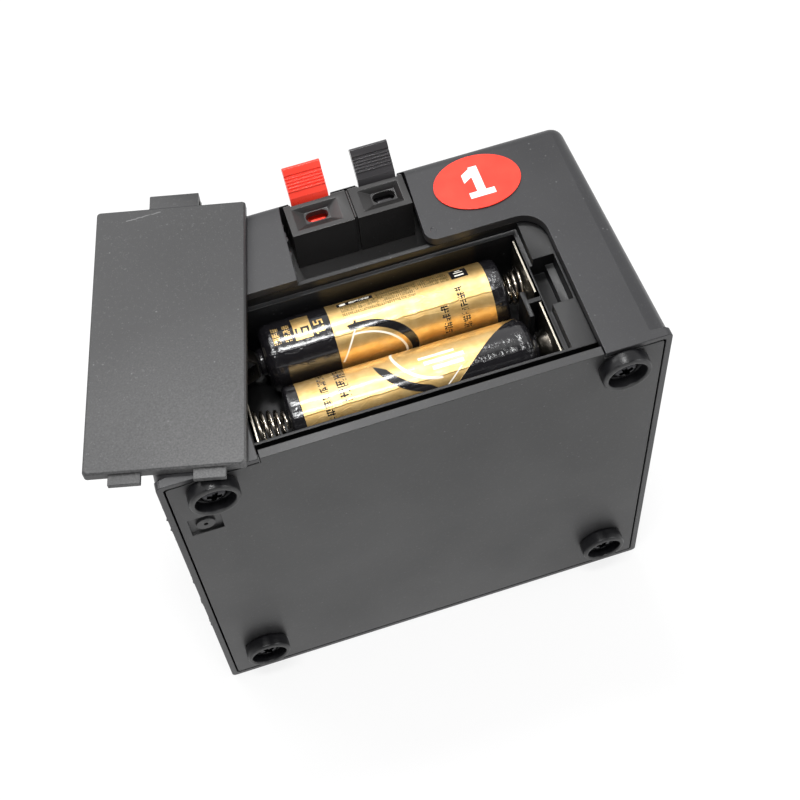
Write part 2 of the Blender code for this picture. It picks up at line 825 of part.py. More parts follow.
def make_plate():
    edge = LIP + PLATE_GAP
    plate = prism(
        rounded(-WIDTH / 2 + edge, WIDTH / 2 - edge, edge, HEIGHT - edge, PLATE_R),
        "v",
        0.0,
        PLATE_T,
    )
    tongue = block(
        OPEN_LEFT + TONGUE_GAP,
        OPEN_RIGHT - TONGUE_GAP,
        0.0,
        PLATE_T,
        HEIGHT - edge - 2.0,
        face_z(PLATE_T),
    )
    posts = [
        cylinder("v", x, z, POST_R, PLATE_T - 0.5, BOARD_V - CLOSE)
        for x in (-POST_X, POST_X)
        for z in (POST_LOW, POST_HIGH)
    ]
    plate = join(plate, tongue, *posts)
    cutters = [
        cylinder("v", x, z, BOARD_SCREW_R + LOOSE, PLATE_T + 0.6, BOARD_V + 1.0, 16)
        for x in (-POST_X, POST_X)
        for z in (POST_LOW, POST_HIGH)
    ]
    for x, z in FOOT_PLACES.values():
        cutters.append(cylinder("v", x, z, BOSS_BORE_R, -1.0, PLATE_T + 1.0))
    half = PIP_POCKET / 2
    ring = cut(
        block(PIP_X - half, PIP_X + half, -1.0, PIP_POCKET_DEEP, PIP_Z - half, PIP_Z + half),
        cylinder("v", PIP_X, PIP_Z, PIP_R, -2.0, PIP_POCKET_DEEP + 1.0, 20),
    )
    cutters.append(ring)
    cutters.append(cylinder("v", PIP_X, PIP_Z, PIP_HOLE_R, -1.0, PIP_POCKET_DEEP, 10))
    return node("bottom_plate", cut(plate, *cutters), "shell_black")


def make_foot(name, x, z):
    base = -CLOSE
    bottom = -FOOT_H
    floor = base - FOOT_FLOOR
    profile = [
        (BOSS_BORE_R, base),
        (FOOT_R, base),
        (FOOT_R, bottom + FOOT_EDGE),
        (FOOT_R - FOOT_EDGE, bottom),
        (FOOT_RECESS_R + 0.15, bottom),
        (FOOT_RECESS_R, bottom + 0.15),
        (FOOT_RECESS_R - 0.1, floor),
        (BOSS_BORE_R, floor),
    ]
    node("foot_" + name, lathe("v", x, z, profile, 36), "foot_rubber")
    head = floor - CLOSE
    top = head - SCREW_HEAD_H
    profile = [
        (0, top),
        (SCREW_HEAD_R * 0.5, top + 0.06),
        (SCREW_HEAD_R * 0.8, top + 0.3),
        (SCREW_HEAD_R, top + 0.8),
        (SCREW_HEAD_R, head),
        (SCREW_R, head),
        (SCREW_R, SCREW_LENGTH - 1.4),
        (0.3, SCREW_LENGTH),
        (0, SCREW_LENGTH),
    ]
    screw = lathe("v", x, z, profile, 24)
    screw = cut(screw, *cross_cutter(top - 0.3, top + 1.0, x, z, 3.2, 0.7))
    node("foot_screw_" + name, screw, "screw_black")


# Battery tray


def make_tray():
    seat = SEAT_Z + SPRING_SEAT
    tray = block(TRAY_LEFT, TRAY_RIGHT, TRAY_NEAR, TRAY_FAR, UNDER_TRAY, TRAY_TOP)
    bay = block(BAY_LEFT, BAY_RIGHT, BAY_NEAR, BAY_FAR, FLOOR_Z, TRAY_TOP + 1.0)
    lid = block(BAY_LEFT - TRAY_WALL, PAD_LEFT, BAY_NEAR, OPEN_FAR + LOOSE, seat, TRAY_TOP + 1.0)
    floor = TRAY_TOP - LATCH_DEEP
    latch = block(PAD_LEFT - 0.5, TRAY_RIGHT - TRAY_WALL, LATCH_NEAR, LATCH_FAR, floor, TRAY_TOP + 1.0)
    tray = cut(tray, bay, lid, latch)
    shelf = block(
        TRAY_RIGHT - TRAY_WALL - LATCH_SHELF_W,
        TRAY_RIGHT - TRAY_WALL / 2,
        LATCH_NEAR - 0.5,
        LATCH_FAR + 0.5,
        floor - 0.5,
        TRAY_TOP - LATCH_SHELF_DEEP,
    )
    middle = (NEAR_CELL_V + FAR_CELL_V) / 2
    ridge = prism(
        [
            (middle - RIDGE_W / 2, FLOOR_Z - 0.5),
            (middle + RIDGE_W / 2, FLOOR_Z - 0.5),
            (middle + LOOSE, FLOOR_Z + RIDGE_H),
            (middle - LOOSE, FLOOR_Z + RIDGE_H),
        ],
        "x",
        NEAR_CELL_X + RIDGE_INSET,
        NEAR_CELL_X + CELL_BODY - RIDGE_INSET,
    )
    bar = LINK_X - DIVIDER_BACK
    stem = middle - DIVIDER_T
    tray = join(
        tray,
        block(
            bar - DIVIDER_T,
            bar,
            NEAR_CELL_V + NUB_R + LOOSE,
            FAR_CELL_V - SPRING_LARGE - 2 * DIVIDER_T,
            FLOOR_Z - 0.5,
            SEAT_Z,
        ),
        block(
            bar - LOOSE,
            BAY_RIGHT + 0.5,
            stem - DIVIDER_T / 2,
            stem + DIVIDER_T / 2,
            CONTACT_FOOT + STRAP_H + LOOSE,
            SEAT_Z,
        ),
        ridge,
        shelf,
    )
    slots = []
    for v in (NEAR_CELL_V, FAR_CELL_V):
        slots.append(
            block(
                SINGLE_X - LOOSE,
                SINGLE_X + CONTACT_T + LOOSE,
                v - TAB_W / 2 - LOOSE,
                v + TAB_W / 2 + LOOSE,
                UNDER_TRAY - 1.0,
                FLOOR_Z + 1.0,
            )
        )
    return node("battery_tray", cut(tray, *slots), "tray_black")


# Contacts and springs


def make_contacts():
    top = SEAT_Z
    x1 = LINK_X + CONTACT_T
    near = NEAR_CELL_V - CELL_R + PLATE_INSET
    far = FAR_CELL_V + CELL_R - PLATE_INSET
    stem = (NEAR_CELL_V + FAR_CELL_V) / 2 - DIVIDER_T
    stem_half = DIVIDER_T / 2 + LOOSE
    link = join(
        block(LINK_X, x1, near, stem - stem_half, CONTACT_FOOT, top),
        block(LINK_X, x1, stem + stem_half + PLATE_INSET, far, CONTACT_FOOT, top),
        block(LINK_X, x1, near + PLATE_INSET, far - PLATE_INSET, CONTACT_FOOT, CONTACT_FOOT + STRAP_H),
    )
    nub_x = NEAR_CELL_X + CELL_BODY + NUB
    dimple = lathe(
        "x",
        NEAR_CELL_V,
        CELL_Z,
        [
            (0, nub_x + CLOSE),
            (1.4, nub_x + CLOSE),
            (2.0, nub_x + CLOSE + 0.25),
            (DIMPLE_R, LINK_X - SPRING_SEAT),
            (DIMPLE_R, LINK_X + 0.2),
            (0, LINK_X + 0.2),
        ],
        20,
    )
    node("contact_link", join(link, dimple), "contact_nickel")
    x1 = SINGLE_X + CONTACT_T
    tab_half = TAB_W / 2
    negative = join(
        block(
            SINGLE_X,
            x1,
            NEAR_CELL_V - CELL_R + PLATE_INSET,
            NEAR_CELL_V + CELL_R - PLATE_INSET,
            CONTACT_FOOT,
            top,
        ),
        block(SINGLE_X, x1, NEAR_CELL_V - tab_half, NEAR_CELL_V + tab_half, TAB_END, CONTACT_FOOT + 1.0),
    )
    node("contact_negative", negative, "contact_nickel")
    nub_x = FAR_CELL_X - NUB
    middle = SINGLE_X + CONTACT_T / 2
    reach = nub_x - CLOSE - CONTACT_T / 2
    leaf = strip(
        [
            (middle, TAB_END),
            (middle, CONTACT_FOOT + 1.5),
            (reach, CELL_Z - 2.5),
            (reach, CELL_Z + 2.0),
            (middle + 0.9, top - 0.2),
        ],
        CONTACT_T,
        "v",
        FAR_CELL_V - tab_half,
        FAR_CELL_V + tab_half,
    )
    node("contact_positive", leaf, "contact_nickel")
    far_end = FAR_CELL_X + CELL_BODY
    path = helix(
        LINK_X - SPRING_WIRE - SPRING_SEAT,
        far_end + SPRING_WIRE + CLOSE,
        SPRING_LARGE,
        SPRING_SMALL,
        RIGHT_TURNS,
        (FAR_CELL_V, CELL_Z),
        "x",
    )
    print("right cell spring, least gap to itself:", round(coil_gap(path, SPRING_WIRE), 2), "mm")
    node("cell_spring_right", tube(path, SPRING_WIRE, SPRING_SIDES), "spring_steel")
    path = helix(
        SINGLE_X + CONTACT_T + SPRING_WIRE + SPRING_SEAT,
        NEAR_CELL_X - SPRING_WIRE - CLOSE,
        SPRING_LARGE,
        SPRING_SMALL,
        LEFT_TURNS,
        (NEAR_CELL_V, CELL_Z),
        "x",
    )
    print("left cell spring, least gap to itself:", round(coil_gap(path, SPRING_WIRE), 2), "mm")
    node("cell_spring_left", tube(path, SPRING_WIRE, SPRING_SIDES), "spring_steel")


# Cells


def make_cell(name, v, x, positive_right):
    end = x + CELL_BODY
    way = 1 if positive_right else -1
    negative = x if positive_right else end
    positive = end if positive_right else x
    profile = [
        (0, negative + way * 0.25),
        (3.4, negative + way * 0.25),
        (3.9, negative),
        (CELL_R - 0.6, negative),
        (CELL_R - 0.15, negative + way * 0.2),
        (CELL_R, negative + way * 0.6),
        (CELL_R, positive - way * (CELL_EDGE + 2.2)),
        (CELL_R - 0.12, positive - way * (CELL_EDGE + 1.8)),
        (CELL_R, positive - way * (CELL_EDGE + 1.4)),
    ]
    for k in range(1, 5):
        angle = math.radians(22.5 * k)
        profile.append(
            (
                CELL_R - CELL_EDGE * (1 - math.cos(angle)),
                positive - way * CELL_EDGE * (1 - math.sin(angle)),
            )
        )
    profile += [
        (CELL_R - 2.2, positive),
        (CELL_R - 2.5, positive - way * 0.3),
        (NUB_R + 0.3, positive - way * 0.3),
        (NUB_R, positive),
        (NUB_R, positive + way * (NUB - 0.25)),
        (NUB_R - 0.3, positive + way * NUB),
        (0, positive + way * NUB),
    ]
    work = lathe("x", v, CELL_Z, profile, CELL_STEPS)
    node(name, work, "cell_gold", (x + CELL_BODY / 2, v, CELL_Z), 25.0)


# Battery cover


def make_cover():
    half_s = COVER_SHORT / 2
    half_l = COVER_LONG / 2
    outline = rounded(-half_s, half_s, -half_l, half_l, COVER_R, 3)
    edge = COVER_EDGE
    inner = rounded(-half_s + edge, half_s - edge, -half_l + edge, half_l - edge, COVER_R, 3)
    cover = loft(
        [
            [(s, along, 0.0) for s, along in outline],
            [(s, along, COVER_T - edge) for s, along in outline],
            [(s, along, COVER_T) for s, along in inner],
        ]
    )
    pieces = []
    for start in HOOK_STARTS:
        pieces.append(
            block(-half_s + start, -half_s + start + HOOK_W, -half_l - HOOK_L, -half_l + 1.0, 0.0, HOOK_T)
        )
    tab0 = -half_s + TAB_START
    tab1 = tab0 + LATCH_W
    far = half_l + LATCH_L
    profile = [
        (half_l - 1.0, COVER_T - LATCH_T - 0.2),
        (half_l - 1.0, COVER_T - 0.2),
        (far - 0.5, COVER_T - 0.2),
        (far, COVER_T - 0.7),
        (far, -LATCH_DROP * 0.45),
        (far + LATCH_BEAD, -LATCH_DROP * 0.55),
        (far, -LATCH_DROP * 0.75),
        (far - 0.2, -LATCH_DROP),
        (far - LATCH_FINGER, -LATCH_DROP),
        (far - LATCH_FINGER, COVER_T - LATCH_T - 0.2),
    ]
    pieces.append(prism(profile, "x", tab0, tab1))
    cover = join(cover, *pieces)
    turn = math.radians(COVER_TURN)
    slope = FACE_DRAFT / DEPTH
    lean = math.atan(slope)

    def lay(s, along, up):
        x = COVER_X + s * math.cos(turn) - along * math.sin(turn)
        v = COVER_V + s * math.sin(turn) + along * math.cos(turn)
        return (x, v + up * math.sin(lean), HEIGHT - slope * v + CLOSE + up * math.cos(lean))

    return node("battery_cover", moved(cover, lay), "shell_black")


# Push terminal


def make_terminal():
    flange = block(FLANGE_LEFT, FLANGE_RIGHT, FLANGE_NEAR, BLOCK_FAR, FLANGE_TOP - FLANGE_T, FLANGE_TOP)
    under = FLANGE_TOP - FLANGE_T - LOOSE - SHELF_T - LOOSE
    pegs = []
    for x in (FLANGE_LEFT + PEG_INSET, FLANGE_RIGHT - PEG_INSET):
        profile = [
            (0, FLANGE_TOP - 0.5),
            (PEG_R, FLANGE_TOP - 0.5),
            (PEG_R, under),
            (PEG_HEAD_R, under),
            (PEG_HEAD_R * 0.8, under - PEG_HEAD_T * 0.7),
            (PEG_HEAD_R * 0.4, under - PEG_HEAD_T),
            (0, under - PEG_HEAD_T),
        ]
        pegs.append(lathe("z", x, PEG_V, profile, 16))
    flange = join(flange, *pegs)
    slots = []
    for _, _, _, slot_x in LEVERS.values():
        slots.append(
            block(
                slot_x - CLIP_W / 2 - LOOSE,
                slot_x + CLIP_W / 2 + LOOSE,
                CLIP_V - CLIP_T / 2 - LOOSE,
                CLIP_V + CLIP_T / 2 + LOOSE,
                FLANGE_TOP - FLANGE_T - 1.0,
                FLANGE_TOP + 1.0,
            )
        )
    node("terminal_base", cut(flange, *slots), "terminal_black")
    for color, (ends, lever, funnel, slot_x) in LEVERS.items():
        make_terminal_block(color, ends, lever, funnel, slot_x)
        make_lever(color, lever)
        clip = strip(
            [
                (CLIP_V, CLIP_END),
                (CLIP_V, CHAMBER_FLOOR + CLIP_BEND / 2),
                (CLIP_V - CLIP_BEND, CHAMBER_FLOOR + CLIP_BEND),
                (CLIP_V - CLIP_BEND, CHAMBER_FLOOR + 2 * CLIP_BEND),
            ],
            CLIP_T,
            "x",
            slot_x - CLIP_W / 2,
            slot_x + CLIP_W / 2,
        )
        node("terminal_clip_" + color, clip, "brass")
    pin = cylinder("x", PIVOT_V, PIVOT_Z, PIVOT_R, RED_BLOCK[0] + PIN_INSET, BLACK_BLOCK[1] - PIN_INSET, 12)
    node("terminal_pin", pin, "screw_zinc")


def make_terminal_block(color, ends, lever, funnel, slot_x):
    body = block(ends[0], ends[1], BLOCK_NEAR, BLOCK_FAR, FLANGE_TOP + CLOSE, BLOCK_TOP)
    half_l = SLOT_L / 2
    half_w = SLOT_W / 2
    slope = 1.0 / (BLOCK_TOP - FUNNEL_BOTTOM)
    top = (funnel[0], funnel[1], FUNNEL_NEAR, FUNNEL_FAR)
    low = (
        slot_x - half_l - SLOT_BORDER,
        slot_x + half_l + SLOT_BORDER,
        SLOT_V - half_w - SLOT_BORDER,
        SLOT_V + half_w + SLOT_BORDER,
    )
    rings = []
    for share, z in ((1.0, FUNNEL_BOTTOM), (0.0, BLOCK_TOP), (-slope, BLOCK_TOP + 1.0)):
        x0, x1, v0, v1 = [t + (b - t) * max(share, -0.2) for t, b in zip(top, low)]
        rings.append([(x0, v0, z), (x1, v0, z), (x1, v1, z), (x0, v1, z)])
    wire_slot = prism(
        rounded(slot_x - half_l, slot_x + half_l, SLOT_V - half_w, SLOT_V + half_w, half_w - 0.01),
        "z",
        CHAMBER_ROOF - 1.0,
        FUNNEL_BOTTOM + 0.5,
    )
    gap = LEVER_SIDE_GAP
    chamber = block(
        lever[0] - gap, lever[1] + gap, CHAMBER_NEAR, BLOCK_FAR + 1.0, CHAMBER_FLOOR, CHAMBER_ROOF
    )
    exit_slot = block(
        lever[0] - gap, lever[1] + gap, LEVER_EXIT, BLOCK_FAR + 1.0, CHAMBER_ROOF - 1.0, BLOCK_TOP + 1.0
    )
    clip_slot = block(
        slot_x - CLIP_W / 2 - LOOSE,
        slot_x + CLIP_W / 2 + LOOSE,
        CLIP_V - CLIP_T / 2 - LOOSE,
        CLIP_V + CLIP_T / 2 + LOOSE,
        FLANGE_TOP - 1.0,
        CHAMBER_FLOOR + 1.0,
    )
    bore = cylinder("x", PIVOT_V, PIVOT_Z, PIVOT_R + CLOSE, ends[0] - 1.0, ends[1] + 1.0, 12)
    body = cut(body, loft(rings), wire_slot, chamber, exit_slot, clip_slot, bore)
    node("terminal_block_" + color, body, "terminal_black")


def crossing(p, d, q, e):
    """Where the line through p along d meets the line through q along e."""
    t = np.linalg.solve(np.array([d, -np.array(e)]).T, np.array(q) - np.array(p))[0]
    return tuple(np.array(p) + t * np.array(d))


def make_lever(color, ends):
    tilt = math.radians(LEVER_TILT)
    root = np.array((LEVER_ROOT_V, BLOCK_TOP))
    pivot = np.array((PIVOT_V, PIVOT_Z))
    way = np.array((math.sin(tilt), math.cos(tilt)))
    out = np.array((-way[1], way[0]))
    arm = (root - pivot) / np.linalg.norm(root - pivot)
    arm_out = np.array((-arm[1], arm[0]))
    front = crossing(pivot + ARM_HALF_T * arm_out, arm, root + LEVER_HALF_T * out, way)
    back = crossing(pivot - ARM_HALF_T * arm_out, arm, root - LEVER_HALF_T * out, way)
    outline = [tuple(pivot + ARM_HALF_T * arm_out), front]

    def surface(s, height):
        return tuple(root + way * s + out * (LEVER_HALF_T + height))

    for k in range(LEVER_RIBS):
        s = RIB_START + k * RIB_PITCH
        outline += [surface(s, 0.0), surface(s + 0.12, RIB_HEIGHT), surface(s + 0.36, RIB_HEIGHT)]
        outline.append(surface(s + 0.48, 0.0))
    band = RIB_START + LEVER_RIBS * RIB_PITCH + 0.1
    outline += [
        surface(band, 0.0),
        surface(band + 0.2, TIP_HEIGHT),
        surface(LEVER_LENGTH - 0.3, TIP_HEIGHT),
        surface(LEVER_LENGTH, TIP_HEIGHT - 0.3),
        tuple(root + way * LEVER_LENGTH - out * (LEVER_HALF_T - 0.3)),
        tuple(root + way * (LEVER_LENGTH - 0.3) - out * LEVER_HALF_T),
        back,
        tuple(pivot - ARM_HALF_T * arm_out),
    ]
    lever = prism(outline, "x", ends[0], ends[1])
    boss = cylinder("x", PIVOT_V, PIVOT_Z, PIVOT_BOSS_R, ends[0], ends[1], 20)
    foot = prism(
        [
            (LEVER_FOOT_NEAR, LEVER_FOOT_TOP - LEVER_FOOT_T),
            (PIVOT_V, LEVER_FOOT_TOP - LEVER_FOOT_T),
            (PIVOT_V + 0.3, LEVER_FOOT_TOP),
            (LEVER_FOOT_NEAR, LEVER_FOOT_TOP),
        ],
        "x",
        ends[0],
        ends[1],
    )
    lever = join(lever, boss, foot)
    lever = cut(lever, cylinder("x", PIVOT_V, PIVOT_Z, PIVOT_BORE_R, ends[0] - 1, ends[1] + 1, 16))
    middle = (ends[0] + ends[1]) / 2
    node("lever_" + color, lever, "lever_" + color, (middle, PIVOT_V, PIVOT_Z), 25.0)


# Channel sticker


def make_sticker():
    steps = 48
    rings = []
    for up in (STICKER_GAP, STICKER_GAP + STICKER_T):
        ring = []
        for k in range(steps):
            angle = 2 * math.pi * k / steps
            x = STICKER_X + STICKER_LONG / 2 * math.cos(angle)
            v = STICKER_V + STICKER_SHORT / 2 * math.sin(angle)
            ring.append((x, v, face_z(v) + up))
        rings.append(ring)
    node("channel_sticker", loft(rings), "sticker_red")


# Fountain cup


def make_cup():
    face = DEPTH + CLOSE
    inner = face + CUP_FLANGE_T - CUP_DEEP
    profile = [
        (0, inner - CUP_FLOOR),
        (CUP_R, inner - CUP_FLOOR),
        (CUP_R, face),
        (CUP_FLANGE_R, face),
        (CUP_FLANGE_R, face + CUP_FLANGE_T - CUP_CHAMFER),
        (CUP_FLANGE_R - CUP_CHAMFER, face + CUP_FLANGE_T),
        (CUP_BORE_R + CUP_CHAMFER, face + CUP_FLANGE_T),
        (CUP_BORE_R, face + CUP_FLANGE_T - CUP_CHAMFER),
        (CUP_BORE_R, inner),
        (0, inner),
    ]
    node("fountain_cup", lathe("v", 0.0, CUP_Z, profile, 40), "terminal_black")
    back = CAVITY_V - CLOSE
    nut = cut(
        prism(circle(0.0, CUP_Z, NUT_R, 8), "v", back - NUT_T, back),
        cylinder("v", 0.0, CUP_Z, CUP_R + LOOSE, back - NUT_T - 1.0, back + 1.0, 40),
    )
    node("cup_nut", nut, "terminal_black")


# Switch and indicator lamp


def make_switch():
    half_frame_v = SWITCH_BODY_W / 2 + SWITCH_BORDER
    half_frame_z = SWITCH_BODY_H / 2 + SWITCH_BORDER
    outside = switch_seat()
    deep = outside - SWITCH_BODY_DEEP
    face = outside + SWITCH_FRAME_T
    pivot = face - ROCKER_SINK
    frame = join(
        block(
            outside,
            face,
            SWITCH_V - half_frame_v,
            SWITCH_V + half_frame_v,
            SWITCH_Z - half_frame_z,
            SWITCH_Z + half_frame_z,
        ),
        block(
            deep,
            outside + 0.5,
            SWITCH_V - SWITCH_BODY_W / 2,
            SWITCH_V + SWITCH_BODY_W / 2,
            SWITCH_Z - SWITCH_BODY_H / 2,
            SWITCH_Z + SWITCH_BODY_H / 2,
        ),
    )
    half_v = SWITCH_BODY_W / 2 - SWITCH_RIM
    half_z = SWITCH_BODY_H / 2 - SWITCH_RIM
    frame = cut(
        frame,
        block(
            face - ROCKER_CAVITY,
            face + 1.0,
            SWITCH_V - half_v,
            SWITCH_V + half_v,
            SWITCH_Z - half_z,
            SWITCH_Z + half_z,
        ),
    )
    node("switch_frame", frame, "terminal_black")
    top = face + ROCKER_RISE
    reach = half_z - ROCKER_END_GAP
    outline = [
        (pivot - ROCKER_HEEL, SWITCH_Z - ROCKER_HEEL),
        (face - 1.0, SWITCH_Z - reach),
        (top, SWITCH_Z - reach + 0.4),
        (top - ROCKER_DISH * 0.75, SWITCH_Z - reach * 0.5),
        (top - ROCKER_DISH, SWITCH_Z),
        (top - ROCKER_DISH * 0.75, SWITCH_Z + reach * 0.5),
        (top, SWITCH_Z + reach - 0.4),
        (face - 1.0, SWITCH_Z + reach),
        (pivot - ROCKER_HEEL, SWITCH_Z + ROCKER_HEEL),
    ]
    # The outline is (x, z), pushed along v.
    rocker = prism(outline, "v", SWITCH_V - half_v + LOOSE, SWITCH_V + half_v - LOOSE)
    node("switch_rocker", rocker, "terminal_black", (pivot, SWITCH_V, SWITCH_Z))
    for k, z in enumerate((SWITCH_Z - BLADE_APART, SWITCH_Z + BLADE_APART)):
        blade = block(
            deep - BLADE_L - LOOSE,
            deep - LOOSE,
            SWITCH_V - BLADE_W / 2,
            SWITCH_V + BLADE_W / 2,
            z - BLADE_T / 2,
            z + BLADE_T / 2,
        )
        node("switch_blade_" + "ab"[k], blade, "brass")
    seat = CAVITY_V - CLOSE
    profile = [
        (0, seat - LAMP_FLANGE_T),
        (LAMP_FLANGE_R, seat - LAMP_FLANGE_T),
        (LAMP_FLANGE_R, seat),
        (LAMP_R, seat),
        (LAMP_R, DEPTH + LAMP_RISE - LAMP_DOME),
    ]
    for k in range(1, 4):
        angle = math.radians(25 * k)
        rise = LAMP_RISE - LAMP_DOME * (1 - math.sin(angle))
        profile.append((LAMP_R * math.cos(angle), DEPTH + rise))
    profile.append((0, DEPTH + LAMP_RISE))
    node("indicator_lens", lathe("v", LAMP_X, LAMP_Z, profile, 20), "lamp_red")


# Circuit board and what sits on it


def make_board():
    top = BOARD_V + BOARD_T
    board = prism(
        rounded(-BOARD_HALF, BOARD_HALF, BOARD_LOW, BOARD_HIGH, BOARD_R, 3), "v", BOARD_V, top
    )
    holes = [
        cylinder("v", x, z, BOARD_SCREW_R + LOOSE, BOARD_V - 1.0, top + 1.0, 16)
        for x in (-POST_X, POST_X)
        for z in (POST_LOW, POST_HIGH)
    ]
    node("circuit_board", cut(board, *holes), "board_green")
    corners = [(x, z) for z in (POST_LOW, POST_HIGH) for x in (-POST_X, POST_X)]
    for k, (x, z) in enumerate(corners):
        seat = top + CLOSE
        head = seat + BOARD_HEAD_H
        profile = [
            (0, head),
            (BOARD_HEAD_R * 0.6, head - 0.1),
            (BOARD_HEAD_R, head - 0.6),
            (BOARD_HEAD_R, seat),
            (BOARD_SCREW_R, seat),
            (BOARD_SCREW_R, head - BOARD_SCREW_L),
            (0, head - BOARD_SCREW_L),
        ]
        screw = lathe("v", x, z, profile, 16)
        screw = cut(screw, *cross_cutter(head + 0.3, head - 0.8, x, z, 2.6, 0.55))
        node("board_screw_" + str(k + 1), screw, "screw_zinc")
    seat = top + CLOSE
    x0, x1, z0, z1 = RELAY_LEFT, RELAY_LEFT + RELAY_W, RELAY_LOW, RELAY_LOW + RELAY_L
    relay = loft(
        [
            [(x, seat, z) for x, z in rounded(x0, x1, z0, z1, RELAY_R, 2)],
            [(x, seat + RELAY_H - 0.5, z) for x, z in rounded(x0, x1, z0, z1, RELAY_R, 2)],
            [(x, seat + RELAY_H, z) for x, z in rounded(x0 + 0.5, x1 - 0.5, z0 + 0.5, z1 - 0.5, RELAY_R, 2)],
        ]
    )
    node("relay", relay, "relay_blue")
    x0, x1, z0, z1 = RADIO_RIGHT - RADIO_W, RADIO_RIGHT, RADIO_HIGH - RADIO_W, RADIO_HIGH
    radio = join(
        block(x0, x1, seat, seat + RADIO_T, z0, z1),
        block(x0 + 2.0, x1 - 2.0, seat + RADIO_T - 0.3, seat + RADIO_T + RADIO_CAN_H, z0 + 1.5, z1 - 4.5),
    )
    node("radio_module", radio, "screw_zinc")
    x0, x1, z0, z1 = CHIP_RIGHT - CHIP_W, CHIP_RIGHT, CHIP_HIGH - CHIP_L, CHIP_HIGH
    body = block(x0 + CHIP_LEG, x1 - CHIP_LEG, seat + CLOSE, seat + CHIP_H, z0, z1)
    pitch = (z1 - z0) / CHIP_LEGS
    legs = [
        block(x0, x1, seat, seat + 0.6, z0 + pitch * (k + 0.3), z0 + pitch * (k + 0.7))
        for k in range(CHIP_LEGS)
    ]
    node("controller_chip", join(body, *legs), "lever_black")
    profile = [
        (0, seat),
        (CAP_R - 0.4, seat),
        (CAP_R, seat + 0.4),
        (CAP_R, seat + 1.6),
        (CAP_R - 0.4, seat + 2.1),
        (CAP_R, seat + 2.6),
        (CAP_R, seat + CAP_H - 0.4),
        (CAP_R - 0.4, seat + CAP_H),
        (0, seat + CAP_H),
    ]
    node("capacitor", lathe("v", CAP_X, CAP_Z, profile, 24), "lever_black")
    path = helix(
        seat + COIL_RAISE,
        seat + COIL_RAISE + COIL_PITCH * COIL_TURNS,
        COIL_R,
        COIL_R,
        COIL_TURNS,
        (COIL_X, COIL_Z),
        "v",
    )
    print("antenna coil, least gap to itself:", round(coil_gap(path, COIL_WIRE), 2), "mm")
    foot = np.array((path[0][0], seat, path[0][2]))
    lead = [foot, foot + np.array((0.0, 1.0, -0.35))]
    node("antenna_coil", tube(lead + path, COIL_WIRE, SPRING_SIDES), "brass")


# Wires inside the housing, held at both ends


def make_wires():
    pad = BOARD_V + BOARD_T + LOOSE + WIRE_R
    tab_x = SINGLE_X + CONTACT_T / 2
    wires = {
        "wire_cell_negative": (
            "wire_black",
            [
                (tab_x, NEAR_CELL_V, TAB_END - CLOSE),
                (tab_x, NEAR_CELL_V + 0.3, TAB_END - 2.9),
                (tab_x + 2.0, NEAR_CELL_V + 1.0, BOARD_HIGH - 4.5),
                (tab_x + 8.6, NEAR_CELL_V + 0.5, BOARD_HIGH - 8.0),
                (tab_x + 10.6, pad + 0.3, BOARD_HIGH - 10.0),
                (tab_x + 11.6, pad, BOARD_HIGH - 12.0),
            ],
        ),
        "wire_cell_positive": (
            "wire_red",
            [
                (tab_x, FAR_CELL_V, TAB_END - CLOSE),
                (tab_x + 0.5, FAR_CELL_V, TAB_END - 3.4),
                (tab_x + 5.6, FAR_CELL_V - 3.7, BOARD_HIGH - 4.0),
                (tab_x + 14.6, pad + 6.0, BOARD_HIGH - 5.5),
                (tab_x + 17.1, pad + 0.8, BOARD_HIGH - 7.5),
                (tab_x + 17.6, pad, BOARD_HIGH - 10.0),
            ],
        ),
    }
    for color, slot_x, shift in (("red", RED_SLOT_X, 0.0), ("black", BLACK_SLOT_X, 5.0)):
        land = slot_x - shift
        wires["wire_terminal_" + color] = (
            "wire_" + color,
            [
                (slot_x, CLIP_V, CLIP_END - CLOSE),
                (slot_x, CLIP_V - 0.5, CLIP_END - 4.0),
                (slot_x, CLIP_V - 6.4, UNDER_TRAY - 4.1),
                ((slot_x + land) / 2, TRAY_FAR - 7.3, UNDER_TRAY - 6.1),
                (land, pad + 6.0, UNDER_TRAY - 7.6),
                (land, pad + 0.8, BOARD_HIGH - 5.0),
                (land, pad, BOARD_HIGH - 8.0),
            ],
        )
    blade_end = switch_seat() - SWITCH_BODY_DEEP - LOOSE - BLADE_L
    for letter, z, end_z in (
        ("a", SWITCH_Z - BLADE_APART, SWITCH_Z - 2 * BLADE_APART),
        ("b", SWITCH_Z + BLADE_APART, SWITCH_Z + 2 * BLADE_APART),
    ):
        wires["wire_switch_" + letter] = (
            "wire_black",
            [
                (blade_end - CLOSE, SWITCH_V, z),
                (blade_end - 2.0, SWITCH_V - 0.6, z),
                (blade_end - 2.2, SWITCH_V - 7.0, (z + end_z) / 2),
                (BOARD_HALF - 4.0, pad + 5.9, end_z),
                (BOARD_HALF - 4.5, pad + 0.8, end_z),
                (BOARD_HALF - 6.0, pad, end_z),
            ],
        )
    lamp_end = CAVITY_V - CLOSE - LAMP_FLANGE_T - CLOSE
    wires["wire_lamp"] = (
        "wire_black",
        [
            (LAMP_X, lamp_end, LAMP_Z),
            (LAMP_X, lamp_end - 4.0, LAMP_Z),
            (LAMP_X - 1.0, lamp_end - 14.5, LAMP_Z - 2.0),
            (BOARD_HALF - 4.0, pad + 11.0, BOARD_HIGH - 8.0),
            (BOARD_HALF - 3.5, pad + 2.0, BOARD_HIGH - 13.0),
            (BOARD_HALF - 3.5, pad, BOARD_HIGH - 16.0),
        ],
    )
    for name, (slot, points) in wires.items():
        node(name, tube(curve_through(points), WIRE_R), slot)


